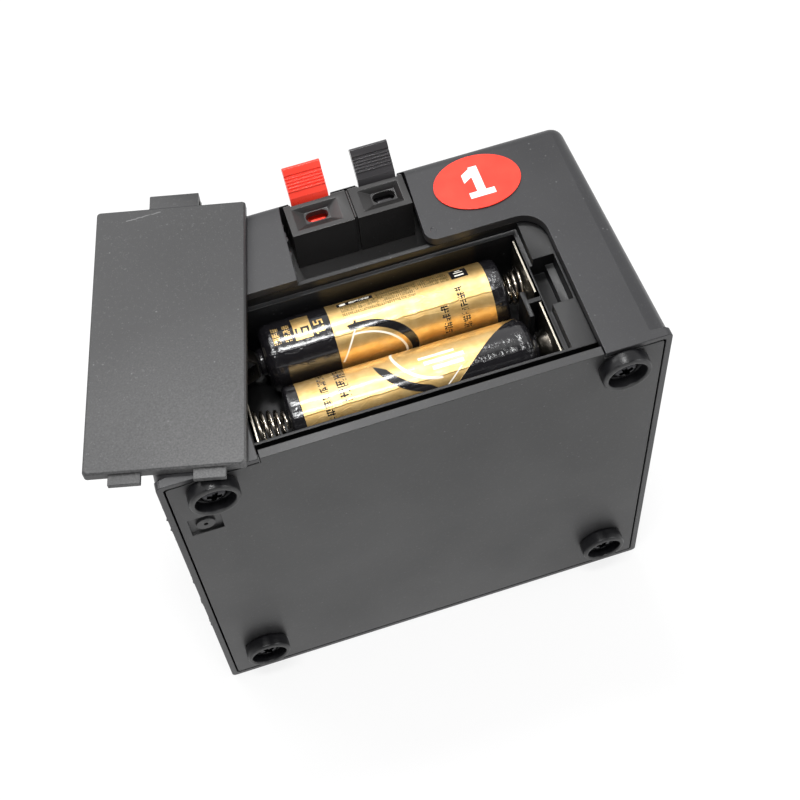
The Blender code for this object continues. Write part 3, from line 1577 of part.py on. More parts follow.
make_housing()
make_plate()
for place_name, (foot_x, foot_z) in FOOT_PLACES.items():
    make_foot(place_name, foot_x, foot_z)
make_tray()
make_contacts()
make_cell("cell_near", NEAR_CELL_V, NEAR_CELL_X, True)
make_cell("cell_far", FAR_CELL_V, FAR_CELL_X, False)
make_cover()
make_terminal()
make_sticker()
make_cup()
make_switch()
make_board()
make_wires()
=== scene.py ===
"""The looks of a battery-powered firing base for one cold spark fountain, lying on its side.

Lengths are in millimetres until a mesh is made, and points are (x, v, z): v is the distance from the rim
that the bottom plate sits in, so world y is v less half the housing's depth. The camera, the lamps and the
stage are in metres and in world axes.
"""

import math

import bmesh
import bpy
import numpy as np
from mathutils import Matrix, Vector


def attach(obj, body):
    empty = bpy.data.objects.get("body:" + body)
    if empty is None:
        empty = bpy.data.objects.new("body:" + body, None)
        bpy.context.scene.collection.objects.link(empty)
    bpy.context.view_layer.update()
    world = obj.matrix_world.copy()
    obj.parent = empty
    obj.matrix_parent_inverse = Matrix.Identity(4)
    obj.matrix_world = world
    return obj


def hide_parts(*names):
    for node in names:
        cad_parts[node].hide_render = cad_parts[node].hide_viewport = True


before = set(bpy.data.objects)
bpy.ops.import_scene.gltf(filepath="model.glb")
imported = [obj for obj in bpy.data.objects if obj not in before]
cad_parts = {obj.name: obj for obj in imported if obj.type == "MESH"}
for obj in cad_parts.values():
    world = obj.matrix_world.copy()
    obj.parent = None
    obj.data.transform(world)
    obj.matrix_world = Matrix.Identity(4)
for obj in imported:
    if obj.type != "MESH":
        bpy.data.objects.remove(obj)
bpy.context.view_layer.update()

MM = 0.001
TAU = 2 * math.pi
HALF_DEPTH = 28.0

# Both cells' middle lines lie at one height. Each cell has its left end's x and its middle line's v.
CELL_AXIS = 83.5
CELL_RADIUS = 7.0
NEAR_CELL = (-22.6, 12.6)
FAR_CELL = (-23.7, 27.7)

# Each foot's middle, x and z.
FEET = {
    "front_left": (-40.2, 90.6),
    "front_right": (40.2, 90.6),
    "back_left": (-40.2, 12.9),
    "back_right": (40.2, 12.9),
}


# Camera, stage and light


def make_camera():
    """A 70 mm lens above and before the bottom plate, a little turned, with the photograph's centre."""
    turn, drop, roll = (math.radians(angle) for angle in (11.055, 59.524, -7.192))
    stand = (-0.033035, -0.16597, 0.343373)
    ahead = Vector((math.sin(turn) * math.cos(drop), math.cos(turn) * math.cos(drop), -math.sin(drop)))
    level = Vector((math.cos(turn), -math.sin(turn), 0.0))
    above = level.cross(ahead)
    right = level * math.cos(roll) + above * math.sin(roll)
    up = above * math.cos(roll) - level * math.sin(roll)
    data = bpy.data.cameras.new("camera")
    data.sensor_width = 36.0
    data.lens = 70.0
    data.shift_x = 0.01987
    data.shift_y = -0.0042
    data.clip_start = 0.005
    data.clip_end = 20.0
    camera = bpy.data.objects.new("camera", data)
    axes = Matrix((right, up, -ahead)).transposed().to_4x4()
    camera.matrix_world = Matrix.Translation(stand) @ axes
    bpy.context.scene.collection.objects.link(camera)
    bpy.context.scene.camera = camera


def add_light(name, place, aim, size, power):
    """A rectangular soft light at a place, turned to face a point."""
    data = bpy.data.lights.new(name, "AREA")
    data.shape = "RECTANGLE"
    data.size, data.size_y = size
    data.energy = power
    light = bpy.data.objects.new(name, data)
    light.location = place
    light.rotation_euler = (Vector(aim) - Vector(place)).to_track_quat("-Z", "Y").to_euler()
    bpy.context.scene.collection.objects.link(light)


def stage_panel(name, corners, finish):
    """A flat panel between four corners, in metres, which isn't part of the base."""
    mesh = bpy.data.meshes.new(name)
    mesh.from_pydata(corners, [], [(0, 1, 2, 3)])
    mesh.materials.append(finish)
    panel = bpy.data.objects.new(name, mesh)
    bpy.context.scene.collection.objects.link(panel)
    return panel


def make_room():
    """A white room that the table meets without a line.

    It is plain white to the camera, in reflections and through glass, and dimmer as a light.
    """
    world = bpy.data.worlds.new("white_room")
    bpy.context.scene.world = world
    world.use_nodes = True
    room = Nodes(world.node_tree)
    camera, glossy, passing = room.rays()
    seen = any_of(camera, glossy, passing)
    level = room.node("ShaderNodeMapRange", {}, {"Value": seen, "To Min": 0.55, "To Max": 1.0})
    ground = world.node_tree.nodes["Background"]
    room.fill(ground.inputs["Color"], (1.0, 1.0, 1.0))
    room.fill(ground.inputs["Strength"], level)


def make_stage():
    """A white table in a white room with soft lamps, and a dark card that only gloss sees."""
    half, low = 1.6, -0.0004
    corners = [(-half, -half, low), (half, -half, low), (half, half, low), (-half, half, low)]
    stage_panel("table_top", corners, floor_finish())
    make_room()
    add_light("overhead", (-0.06, -0.16, 0.92), (0.0, 0.0, 0.06), (0.34, 0.10), 3.7)
    add_light("window", (-0.45, 0.75, 0.75), (0.0, 0.0, 0.06), (0.7, 0.5), 4.0)
    add_light("ceiling", (0.0, 0.27, 0.86), (-0.04, 0.0, 0.09), (0.16, 0.12), 2.6)
    add_light("side", (0.75, -0.15, 0.55), (0.0, 0.0, 0.05), (0.2, 0.4), 1.6)
    corners = [(-0.7, -1.0, 0.6), (0.7, -1.0, 0.6), (0.7, -0.02, 1.15), (-0.7, -0.02, 1.15)]
    card = stage_panel("dark_card", corners, card_finish())
    for ray in ("camera", "diffuse", "transmission", "volume_scatter", "shadow"):
        setattr(card, "visible_" + ray, False)


# Shader maths


class Term:
    """A socket's output. Arithmetic on it adds Math nodes to its tree."""

    def __init__(self, nodes, socket):
        self.nodes = nodes
        self.socket = socket

    def math(self, operation, *others):
        """A Math node on this value and the others, in that order."""
        return self.nodes.node("ShaderNodeMath", {"operation": operation}, dict(enumerate((self, *others))))

    def __add__(self, other):
        return self.math("ADD", other)

    def __sub__(self, other):
        return self.math("SUBTRACT", other)

    def __rsub__(self, other):
        return self.nodes.node("ShaderNodeMath", {"operation": "SUBTRACT"}, {0: other, 1: self})

    def __mul__(self, other):
        return self.math("MULTIPLY", other)

    __radd__ = __add__
    __rmul__ = __mul__

    def __truediv__(self, other):
        return self.math("DIVIDE", other)

    def __gt__(self, other):
        return self.math("GREATER_THAN", other)

    def __lt__(self, other):
        return self.math("LESS_THAN", other)

    def __abs__(self):
        return self.math("ABSOLUTE")

    def least(self, other):
        return self.math("MINIMUM", other)

    def most(self, other):
        return self.math("MAXIMUM", other)

    def fraction(self):
        return self.math("FRACT")

    def between(self, low, high):
        """0 below low, 1 above high and an even rise between them."""
        return self.nodes.node("ShaderNodeMapRange", {}, {"Value": self, "From Min": low, "From Max": high})

    def within(self, low, high, soft=0.04):
        """1 from low to high and 0 outside, with each edge spread by soft to both sides."""
        return self.between(low - soft, low + soft) * (1.0 - self.between(high - soft, high + soft))


def any_of(first, *others):
    """The greatest of some terms: where each is a zone, the zone of all together."""
    for other in others:
        first = first.most(other)
    return first


def far_off(a, b):
    """How far the point (a, b) is from (0, 0)."""
    return (a * a + b * b).math("SQRT")


def toned(color, scale, lift=0.0):
    """A colour with its parts scaled and lifted, each 1 at most."""
    return tuple(min(1.0, part * scale + lift) for part in color)


class Nodes:
    """A node tree in the making."""

    def __init__(self, tree):
        self.tree = tree

    def node(self, kind, settings, values, output=0):
        """Adds a node: its settings first, then the values or links of its sockets."""
        made = self.tree.nodes.new(kind)
        for key, value in settings.items():
            setattr(made, key, value)
        for key, value in values.items():
            self.fill(made.inputs[key], value)
        return Term(self, made.outputs[output])

    def fill(self, socket, value):
        """Links a term to a socket, or sets the socket's own value."""
        if isinstance(value, Term):
            self.tree.links.new(value.socket, socket)
        else:
            socket.default_value = (*value, 1.0) if socket.type == "RGBA" else value

    def rays(self):
        """Three terms, 1 where the ray comes from the camera, from gloss, or through glass."""
        sockets = self.node("ShaderNodeLightPath", {}, {}).socket.node.outputs
        return [Term(self, sockets[f"Is {kind} Ray"]) for kind in ("Camera", "Glossy", "Transmission")]


class Finish(Nodes):
    """A material in the making, with a Principled shader at its end, whose constant sockets come first."""

    def __init__(self, name, **constants):
        self.material = bpy.data.materials.new(name)
        self.material.use_nodes = True
        super().__init__(self.material.node_tree)
        self.shader = self.tree.nodes["Principled BSDF"]
        self.place = self.node("ShaderNodeTexCoord", {}, {}, "Object")
        self.set(**constants)

    def set(self, **values):
        """Fills the shader's sockets, named in lower case with underscores."""
        for key, value in values.items():
            name = "IOR" if key == "ior" else key.replace("_", " ").title()
            self.fill(self.shader.inputs[name], value)

    def millimetres(self, axis):
        """The place's x, v or z."""
        length = self.node("ShaderNodeSeparateXYZ", {}, {0: self.place}, "xvz".index(axis)) / MM
        return length + HALF_DEPTH if axis == "v" else length

    def shifted(self, x, y, z):
        """The place moved by so many metres, for another part of a pattern."""
        return self.node("ShaderNodeVectorMath", {"operation": "ADD"}, {0: self.place, 1: (x, y, z)})

    def stretched(self, x, y, z):
        """The place with its axes scaled, for streaks."""
        return self.node("ShaderNodeVectorMath", {"operation": "MULTIPLY"}, {0: self.place, 1: (x, y, z)})

    def noise(self, scale, detail=3.0, rough=0.55, place=None, distortion=0.0):
        """Noise whose features are about 1 / scale mm across."""
        values = {"Vector": place or self.place, "Scale": scale / MM, "Detail": detail, "Roughness": rough}
        return self.node("ShaderNodeTexNoise", {}, values | {"Distortion": distortion})

    def cells(self, scale, place=None):
        """How far the nearest of many points is, strewn about 1 / scale mm apart, as a share of that."""
        values = {"Vector": place or self.place, "Scale": scale / MM}
        return self.node("ShaderNodeTexVoronoi", {}, values, "Distance")

    def mixed(self, share, first, second):
        """A colour between two colours."""
        return self.node("ShaderNodeMix", {"data_type": "RGBA"}, {0: share, 6: first, 7: second}, 2)

    def bump(self, height, depth, strength):
        """A relief of a height from 0 to 1, as deep as depth in millimetres."""
        values = {"Height": height, "Distance": depth * MM, "Strength": strength}
        return self.node("ShaderNodeBump", {}, values)


# Finishes


def moulded(name, color, roughness, grain=0.5, sparkle=0.5, seed=0.0, ior=1.5, scuffs_and_sheen=None):
    """Moulded plastic: eroded fine grain, cloudy gloss, a few scrapes, fine dust and, where given, a painted
    sheen.

    Colour = base x cloud + grain tips + scrapes and painted sheen + dust, roughness = base + cloud - tips +
    scrapes and sheen, and relief = grain + dust. grain scales the relief's depth, sparkle the tips' colour,
    and seed picks another part of the patterns. scuffs_and_sheen takes the finish and gives where it is
    scraped pale or painted pale as a sheen, from 0 to 1.
    """
    finish = Finish(name, ior=ior)
    place = finish.shifted(seed, -seed, seed)
    fine = finish.noise(3.2, 2.0, 0.6, place)
    coarse = finish.noise(1.1, 3.0, 0.6, place)
    cloud = finish.noise(0.035, 3.0, 0.5, place)
    tips = fine.between(0.56, 0.74) * coarse.between(0.45, 0.62)
    streak = finish.noise(0.9, 2.0, 0.5, finish.stretched(0.22, 1.0, 0.6))
    scuff_and_sheen = streak.between(0.755, 0.79) * finish.noise(0.06, 1.0, 0.5, place).between(0.5, 0.6)
    if scuffs_and_sheen:
        scuff_and_sheen = scuff_and_sheen.most(scuffs_and_sheen(finish))
    specks = finish.cells(0.42, place)
    dust = (1.0 - specks.between(0.03, 0.10)) * finish.noise(0.11, 1.0, 0.5, place).between(0.52, 0.6)
    shade = cloud.between(0.3, 0.7)
    base = finish.mixed(shade, toned(color, 0.9), toned(color, 1.12))
    base = finish.mixed(tips * sparkle, base, toned(color, 2.2, 0.035))
    # Scrapes, dust and, on the cover, a painted sheen pale the colour.
    base = finish.mixed((scuff_and_sheen * 0.5 + dust * 0.35).least(0.6), base, toned(color, 0.5, 0.22))
    gloss = roughness - 0.07 + shade * 0.12 - tips * 0.1 + scuff_and_sheen * 0.2
    height = fine * 0.6 + coarse * 0.4 + dust * 0.3
    finish.set(base_color=base, roughness=gloss, normal=finish.bump(height, 0.03 * grain, 0.9))
    return finish.material


def rubbery(name, color):
    """Soft black rubber: a little bloom, moulding specks, a low even gloss and a painted highlight that makes
    the lips paler.
    """
    finish = Finish(name, ior=1.38)
    # Painted highlight: past v -2.75 mm the lips are mixed towards a paler grey, mottled by fine noise.
    painted_rim_highlight = 1.0 - finish.millimetres("v").between(-3.15, -2.75)
    cloud = finish.noise(0.12, 3.0)
    fine = finish.noise(2.4, 3.0)
    bloom = cloud.between(0.45, 0.75) * 0.5
    base = finish.mixed(bloom, color, toned(color, 2.4, 0.01))
    base = finish.mixed(painted_rim_highlight * (fine * 0.6 + 0.35), base, (0.075, 0.075, 0.075))
    gloss = 0.24 + bloom * 0.4 + fine * 0.12 + painted_rim_highlight * 0.2
    finish.set(base_color=base, roughness=gloss, normal=finish.bump(fine, 0.02, 0.6))
    return finish.material


def bright_metal(
    name, color, roughness, streaks=(1.0, 1.0, 0.15), tarnish=(0.35, 0.22, 0.12), worn=0.35, rim=None
):
    """Plated or drawn metal: fine drawing lines, cloudy tarnish and small pits.

    Colour = color to tarnish by cloud x worn, darker in the pits, and roughness rises with both cloud and
    lines. rim is a height in mm and a colour: above that height the metal takes the colour as a painted
    highlight on its top edge.
    """
    finish = Finish(name, metallic=1.0)
    lines = finish.noise(6.0, 2.0, 0.7, finish.stretched(*streaks))
    cloud = finish.noise(0.3, 4.0, 0.6)
    pits = 1.0 - finish.cells(0.9).between(0.04, 0.12)
    dull = cloud.between(0.5, 0.8) * worn
    base = finish.mixed(dull, color, tarnish)
    base = finish.mixed(pits * 0.4, base, toned(color, 0.4))
    # Painted highlight: above the rim's height the colour is the brighter edge colour.
    if rim:
        height, edge = rim
        base = finish.mixed(finish.millimetres("z").between(height - 0.1, height + 0.05), base, edge)
    gloss = roughness + dull * 0.3 + lines.between(0.3, 0.7) * 0.08
    finish.set(base_color=base, roughness=gloss, normal=finish.bump(lines + pits * -0.5, 0.006, 0.5))
    return finish.material


def rocker_marks(finish):
    """A bar at the rocker's upper end and a ring at its lower end, doubled as the finish halves what
    scuffs_and_sheen gives.
    """
    middle, bar_height, ring_height, ring_radius = 29.0, 34.2, 25.6, 1.3
    x, v, z = map(finish.millimetres, "xvz")
    across = v - middle
    bar = (1.0 - abs(across).between(0.2, 0.3)) * (1.0 - abs(z - bar_height).between(1.4, 1.5))
    ring = 1.0 - abs(far_off(across, z - ring_height) - ring_radius).between(0.2, 0.3)
    return bar.most(ring) * x.between(48.6, 48.9) * 2.0


def cover_scuffs_and_sheen(finish):
    """A broken line of pale dashes near the cover's far end, and a painted sheen that pales the cover towards
    its near end and its right side.
    """
    line_v = 60.1
    x, v, z = map(finish.millimetres, "xvz")
    worn = finish.noise(0.9, 2.0)
    line = 1.0 - abs(v - line_v + (worn - 0.5) * 0.7).between(0.07, 0.16)
    ends = x.between(-43.2, -43.0) * (1.0 - x.between(-35.0, -34.7))
    scrape = line * ends * finish.noise(0.42, 1.0).between(0.47, 0.53) * z.between(96.0, 96.5) * 1.6
    # Painted sheen: pale towards the near end and the right side, mottled by noise.
    near = (1.0 - v.between(1.0, 34.0)) * (x.between(-62.0, -44.0) * 0.5 + 0.5)
    return scrape.most(near * (finish.noise(2.6, 2.0).between(0.3, 0.7) * 0.6 + 0.12))


class Sleeve:
    """The print on a cell's sleeve.

    A point's place is along, its length from the cell's left end, and arc, its length round from the top,
    negative towards the bottom plate, both in mm. Zones are bands of the two, from 0 outside to 1 inside.
    """

    def __init__(self, finish, cell):
        left, middle = cell
        x, v, z = map(finish.millimetres, "xvz")
        self.finish = finish
        self.along = x - left
        self.arc = (v - middle).math("ARCTAN2", z - CELL_AXIS) * CELL_RADIUS

    def box(self, low_a, high_a, low_b, high_b):
        """A band of along crossed with a band of arc."""
        return self.along.within(low_a, high_a) * self.arc.within(low_b, high_b)

    def sickle(self, outer, inner):
        """Inside one ellipse and outside another. Each is its middle's along and arc and its half widths."""
        rim, hole = (
            far_off((self.along - a) / long, (self.arc - b) / short) for a, b, long, short in (outer, inner)
        )
        return (1.0 - rim.between(0.992, 1.008)) * hole.between(0.992, 1.008)

    def small_marks(self, pitch_a, pitch_b, seed):
        """Short strokes both ways, like print too small to read."""
        moved = self.finish.shifted(seed, seed, seed)
        flat = (self.arc / (pitch_b * 0.29)).fraction().within(0.08, 0.62)
        flat = flat * (self.finish.noise(1.5 / pitch_a, 0.0, 0.5, moved) > 0.42)
        tall = (self.along / (pitch_a * 0.31)).fraction().within(0.08, 0.56)
        tall = tall * (self.finish.noise(1.9 / pitch_b, 0.0, 0.5, moved) > 0.47)
        gaps = (self.arc / pitch_b).fraction().within(0.06, 0.9)
        return flat.most(tall) * gaps

    def figure(self, bars, base_a, base_b, wide, high):
        """A numeral with its top to the left end, of bars given by their sides, their foot and their top."""
        return any_of(*(
            self.box(base_a - top * high, base_a - foot * high, base_b + left * wide, base_b + right * wide)
            for left, right, foot, top in bars
        ))


def near_print(sleeve):
    """The near cell's black, dark, pale, small, gold and faint zones. Its black end is cut at a slant."""
    along, arc, box = sleeve.along, sleeve.arc, sleeve.box
    slope = along - 44.3 - (arc - 3.8) * 1.24
    black = slope.between(-0.06, 0.06).most(1.0 - along.between(2.66, 2.74))
    dark = sleeve.sickle((30.5, 4.0, 12.6, 10.2), (31.7, 4.8, 12.3, 9.8))
    dark = dark * (1.0 - (along + arc * 1.3).between(21.6, 22.0))
    curve = sleeve.sickle((30.6, 4.1, 8.9, 8.0), (30.8, 4.4, 8.55, 7.8)) * (1.0 - along.between(30.0, 30.3))
    bars = (box(26.6, 33.8, 0.9, 1.5), box(27.4, 35.4, -0.5, 0.3), box(28.8, 35.0, -1.9, -1.1))
    stroke = slope.within(-2.3, -1.9) * arc.within(-6.5, -2.6)
    column = box(6.9, 8.5, -7.4, 6.4) * sleeve.small_marks(1.6, 1.62, 0.2)
    wide_column = box(10.3, 12.5, -2.9, 6.4) * sleeve.small_marks(2.2, 2.2, 0.5)
    return black, dark, any_of(curve, *bars, stroke), column.most(wide_column), 0.0, 0.0


def far_print(sleeve):
    """The far cell's zones, in near_print's order. Its black end has the size and the voltage in gold."""
    along, arc, box = sleeve.along, sleeve.arc, sleeve.box
    black = (1.0 - along.between(14.21, 14.29)).most(along.between(46.3, 46.38))
    dark = sleeve.sickle((19.3, -9.6, 10.8, 7.9), (18.3, -10.4, 10.3, 7.4))
    dark = dark * (along - 17.6 + (arc + 3.2) * 0.4).between(-0.05, 0.05)
    spike = (along - (arc + 1.0) * 0.3).within(18.7, 19.2) * arc.within(-3.2, -1.2)
    curve = sleeve.sickle((18.3, -10.4, 9.5, 6.7), (18.2, -10.5, 9.15, 6.45)) * along.between(17.6, 17.9)
    stroke = (along - 14.6 - (arc + 9.2) * 0.62).within(-0.2, 0.2) * arc.within(-9.0, -3.0)
    tags = box(16.5, 23.9, 3.2, 4.75).most(box(39.7, 43.2, 1.5, 4.7))
    words = box(19.0, 23.2, 3.55, 4.4) * sleeve.small_marks(1.1, 0.95, 0.7)
    square = box(17.1, 18.3, 3.5, 4.4)
    bars = (box(40.5, 42.4, 2.1, 2.5), box(40.5, 42.4, 3.1, 3.4), box(40.9, 42.0, 3.8, 4.1))
    first_column = box(35.6, 37.2, -9.5, -3.4) * sleeve.small_marks(1.6, 1.7, 1.1)
    next_column = box(39.5, 41.1, -9.5, -0.6) * sleeve.small_marks(1.6, 1.62, 1.3)
    faint = box(17.0, 32.0, 0.2, 3.1).most(box(24.4, 39.2, 1.6, 4.7)) * sleeve.small_marks(1.3, 1.1, 0.9)
    one = [(0.36, 0.64, 0.0, 1.0), (0.1, 0.4, 0.72, 0.9)]
    five = [(0.1, 0.9, 0.84, 1.0), (0.1, 0.32, 0.5, 1.0), (0.1, 0.9, 0.44, 0.6)]
    five += [(0.68, 0.9, 0.0, 0.5), (0.1, 0.9, 0.0, 0.16)]
    point = box(12.5, 12.9, -0.6, -0.2)
    digits = (sleeve.figure(one, 12.9, -1.9, 1.3, 1.9), sleeve.figure(five, 12.9, 0.1, 1.5, 1.9))
    panel = box(6.9, 10.4, -1.9, 3.9) * (1.0 - sleeve.figure(five, 10.0, -1.3, 2.3, 2.8))
    rows = box(2.6, 4.0, -1.6, 2.4).most(box(4.9, 6.2, -1.6, 2.4)) * sleeve.small_marks(1.4, 1.3, 0.1)
    pale = any_of(curve, stroke, square, words, *bars)
    small = any_of(tags, first_column, next_column)
    return black, dark.most(spike), pale, small, any_of(*digits, point, panel, rows), faint


def printed_sleeve(name, cell, zones):
    """A cell's sleeve: gold foil, black, dark and small print on it, pale lines, and shrunk film on top.

    Relief = folds, strongest at the ends and stronger on black, + long creases + the lap seam near the top.
    """
    finish = Finish(name, coat_weight=0.4, coat_roughness=0.1)
    sleeve = Sleeve(finish, cell)
    black, dark, pale, small, gold, faint = zones(sleeve)
    ink = any_of(black, dark, small) * (1.0 - gold)
    pale = pale * (1.0 - black)
    wobble = finish.noise(0.5, 2.0)
    foil = finish.mixed(wobble.between(0.3, 0.7), (0.67, 0.425, 0.147), (0.77, 0.54, 0.23))
    foil = finish.mixed(faint, foil, (0.27, 0.19, 0.07))
    color = finish.mixed(ink, foil, (0.008, 0.0075, 0.009))
    color = finish.mixed(pale, color, (0.92, 0.88, 0.78))
    metal = (1.0 - ink) * (1.0 - pale) * 0.92
    ends = (1.0 - sleeve.along.between(1.6, 3.4)).most(sleeve.along.between(45.2, 47.2))
    folds = finish.noise(0.75, 3.0, 0.6, finish.stretched(1.3, 0.7, 0.7), distortion=0.6)
    strands = finish.noise(0.22, 2.0, 0.5, finish.stretched(0.55, 1.4, 1.4))
    creases = 1.0 - abs(strands - 0.5).between(0.0, 0.02)
    seam = 1.0 - abs(sleeve.arc + 3.25 + (wobble - 0.5) * 0.5).between(0.05, 0.3)
    height = folds * (0.25 + ends * 1.6 + black * 0.6) + creases * 0.14 + seam * 0.4
    finish.set(base_color=color, metallic=metal, roughness=0.38 - ink * 0.23 + wobble * 0.06)
    finish.set(normal=finish.bump(height, 0.16, 0.6))
    return finish.material


def printed_label(name, middle_x, middle_v):
    """A glossy red label with a plain white numeral of three straight bars; the ink is faintly mottled."""
    finish = Finish(name)
    a = finish.millimetres("x") - middle_x
    b = finish.millimetres("v") - middle_v
    cloud = finish.noise(0.25, 3.0)
    fine = finish.noise(2.0, 2.0)
    stem = a.within(-0.75, 1.05) * b.within(-3.9, 3.9)
    foot = a.within(-2.5, 2.8) * b.within(-3.9, -2.45)
    flag = (b - a * 0.62).within(1.85, 4.0) * a.within(-2.6, 0.2) * (1.0 - b.between(3.85, 3.95))
    base = finish.mixed(cloud.between(0.3, 0.7), (0.96, 0.036, 0.017), (1.0, 0.052, 0.026))
    white = finish.mixed(fine, (0.88, 0.87, 0.86), (0.96, 0.955, 0.95))
    base = finish.mixed(any_of(stem, foot, flag), base, white)
    relief = finish.bump(cloud + fine * 0.4, 0.02, 0.5)
    finish.set(base_color=base, roughness=0.28 + fine * 0.1, normal=relief)
    return finish.material


def board_finish(name):
    """Green solder mask over copper tracks, with pale pads on a grid."""
    hole_pitch = 2.54
    finish = Finish(name, coat_weight=0.3, coat_roughness=0.15)
    lane, row = ((finish.millimetres(axis) / hole_pitch).fraction() - 0.5 for axis in "xz")
    patch = finish.noise(0.09, 0.0)
    upright = (abs(lane) < 0.16) * (patch > 0.52)
    level = (abs(row) < 0.14) * (patch < 0.47)
    tracks = upright.most(level)
    pads = (far_off(lane, row) < 0.24) * (finish.noise(0.16, 0.0) > 0.62)
    base = finish.mixed(tracks, (0.012, 0.10, 0.035), (0.03, 0.20, 0.06))
    base = finish.mixed(pads, base, (0.72, 0.70, 0.66))
    finish.set(base_color=base, metallic=pads * 0.9, roughness=0.36 - pads * 0.1)
    finish.set(normal=finish.bump(tracks * 0.6 + pads, 0.05, 0.6))
    return finish.material


def clear_lens(name):
    """Red see-through plastic with a faint ripple."""
    finish = Finish(name, transmission_weight=0.35)
    fine = finish.noise(0.5, 2.0)
    base = finish.mixed(fine.between(0.3, 0.7), (0.62, 0.03, 0.02), (0.75, 0.05, 0.03))
    finish.set(base_color=base, roughness=0.08 + fine * 0.08, normal=finish.bump(fine, 0.02, 0.3))
    return finish.material


def floor_finish():
    """A white floor: seen from the camera it is nearly plain white, and it keeps a soft shadow."""
    finish = Finish("white_table", roughness=0.9)
    fine = finish.noise(0.02, 2.0)
    finish.set(base_color=finish.mixed(fine.between(0.3, 0.7), (0.93, 0.93, 0.93), (0.95, 0.95, 0.95)))
    camera, glossy, passing = finish.rays()
    path = any_of(camera, glossy * 0.9, passing * 0.9)
    glow = finish.node("ShaderNodeEmission", {}, {"Color": (1.0, 1.0, 1.0), "Strength": 1.0})
    lit = Term(finish, finish.shader.outputs[0])
    shown = finish.node("ShaderNodeMixShader", {}, {0: path * 0.8, 1: lit, 2: glow})
    finish.fill(finish.tree.nodes["Material Output"].inputs["Surface"], shown)
    return finish.material


def card_finish():
    """A dark grey card above the camera, which only gloss reflects, so that black plastic looks black."""
    finish = Finish("dark_card", roughness=0.9)
    fine = finish.noise(0.01, 2.0)
    finish.set(base_color=finish.mixed(fine, (0.02, 0.02, 0.02), (0.03, 0.03, 0.03)))
    return finish.material


# Mesh making


def metres(points):
    """Points (x, v, z) in millimetres put into the frame, in metres."""
    return (np.asarray(points, float) - (0.0, HALF_DEPTH, 0.0)) * MM


def finished(name, mesh, finish, slot, body="base", stands_for=(), sharp=35.0):
    """Makes a mesh a piece of the base: its finish, its body and the nodes it stands for. slot is not used.
    """
    piece = bpy.data.objects.new(name, mesh)
    bpy.context.scene.collection.objects.link(piece)
    mesh.materials.clear()
    mesh.materials.append(finish)
    mesh.shade_smooth()
    mesh.set_sharp_from_angle(angle=math.radians(sharp))
    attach(piece, body)
    if stands_for:
        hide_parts(*stands_for)
    return piece


def sheet_mesh(name, points, close_rows=False, close_columns=False, weld=1e-7):
    """A mesh through a grid of points, with its ends joined where a direction closes and its poles merged.

    Points nearer than weld, in metres, become one.
    """
    rows, columns = points.shape[:2]
    index = np.arange(rows * columns).reshape(rows, columns)
    if close_columns:
        index = np.concatenate([index, index[:, :1]], axis=1)
    if close_rows:
        index = np.concatenate([index, index[:1]], axis=0)
    corners = (index[:-1, :-1], index[1:, :-1], index[1:, 1:], index[:-1, 1:])
    faces = np.stack(corners, axis=-1).reshape(-1, 4)
    mesh = bpy.data.meshes.new(name)
    mesh.from_pydata(metres(points).reshape(-1, 3), [], faces)
    shape = bmesh.new()
    shape.from_mesh(mesh)
    bmesh.ops.remove_doubles(shape, verts=shape.verts, dist=weld)
    bmesh.ops.recalc_face_normals(shape, faces=shape.faces)
    shape.to_mesh(mesh)
    shape.free()
    return mesh


def along_profile(corners, radius, step):
    """Points every step along a profile of (radius, along) corners, rounded by a running average."""
    fineness = 6
    corners = np.array(corners, float)
    lengths = np.concatenate([[0.0], np.cumsum(np.linalg.norm(np.diff(corners, axis=0), axis=1))])
    fine = np.linspace(0.0, lengths[-1], max(int(lengths[-1] / step), 8) * fineness + 1)
    path = np.stack([np.interp(fine, lengths, corners[:, k]) for k in range(2)], axis=1)
    width = max(int(radius / (fine[1] - fine[0])), 1)
    padded = np.concatenate([np.repeat(path[:1], width, 0), path, np.repeat(path[-1:], width, 0)])
    weights = np.ones(2 * width + 1) / (2 * width + 1)
    smooth = np.stack([np.convolve(padded[:, k], weights, "valid") for k in range(2)], axis=1)
    smooth[0], smooth[-1] = path[0], path[-1]
    return smooth[::fineness]


def turned_points(axis, centre, profile, sides, radius_change=None):
    """A profile carried round an axis: across = centre + radius x (cos, sin) of the angle.

    The profile's points are (radius, along). radius_change takes the along values and the angles as grids
    and gives what is added to the radius.
    """
    angles = np.linspace(0.0, TAU, sides, endpoint=False)
    radius = profile[:, 0:1] + np.zeros(sides)
    along = profile[:, 1:2] + np.zeros(sides)
    angle = angles + np.zeros((len(profile), 1))
    if radius_change:
        radius = np.maximum(radius + radius_change(along, angle) * (profile[:, 0:1] > 0.01), 0.0)
    a = centre[0] + radius * np.cos(angle)
    b = centre[1] + radius * np.sin(angle)
    order = {"x": (along, a, b), "v": (a, along, b), "z": (a, b, along)}[axis]
    return np.stack(order, axis=-1)


def turned(name, axis, centre, corners, sides, soft, step, radius_change=None):
    """A solid form: a profile that starts and ends on the axis, carried round it."""
    points = turned_points(axis, centre, along_profile(corners, soft, step), sides, radius_change)
    return sheet_mesh(name, points, close_columns=True)


def closed_turned(name, axis, centre, corners, sides, soft, step):
    """A ring: a closed profile carried round an axis."""
    start = (np.array(corners[0]) + np.array(corners[-1])) / 2
    loop = [tuple(start), *corners, tuple(start)]
    profile = along_profile(loop, soft, step)[:-1]
    points = turned_points(axis, centre, profile, sides)
    return sheet_mesh(name, points, close_rows=True, close_columns=True)


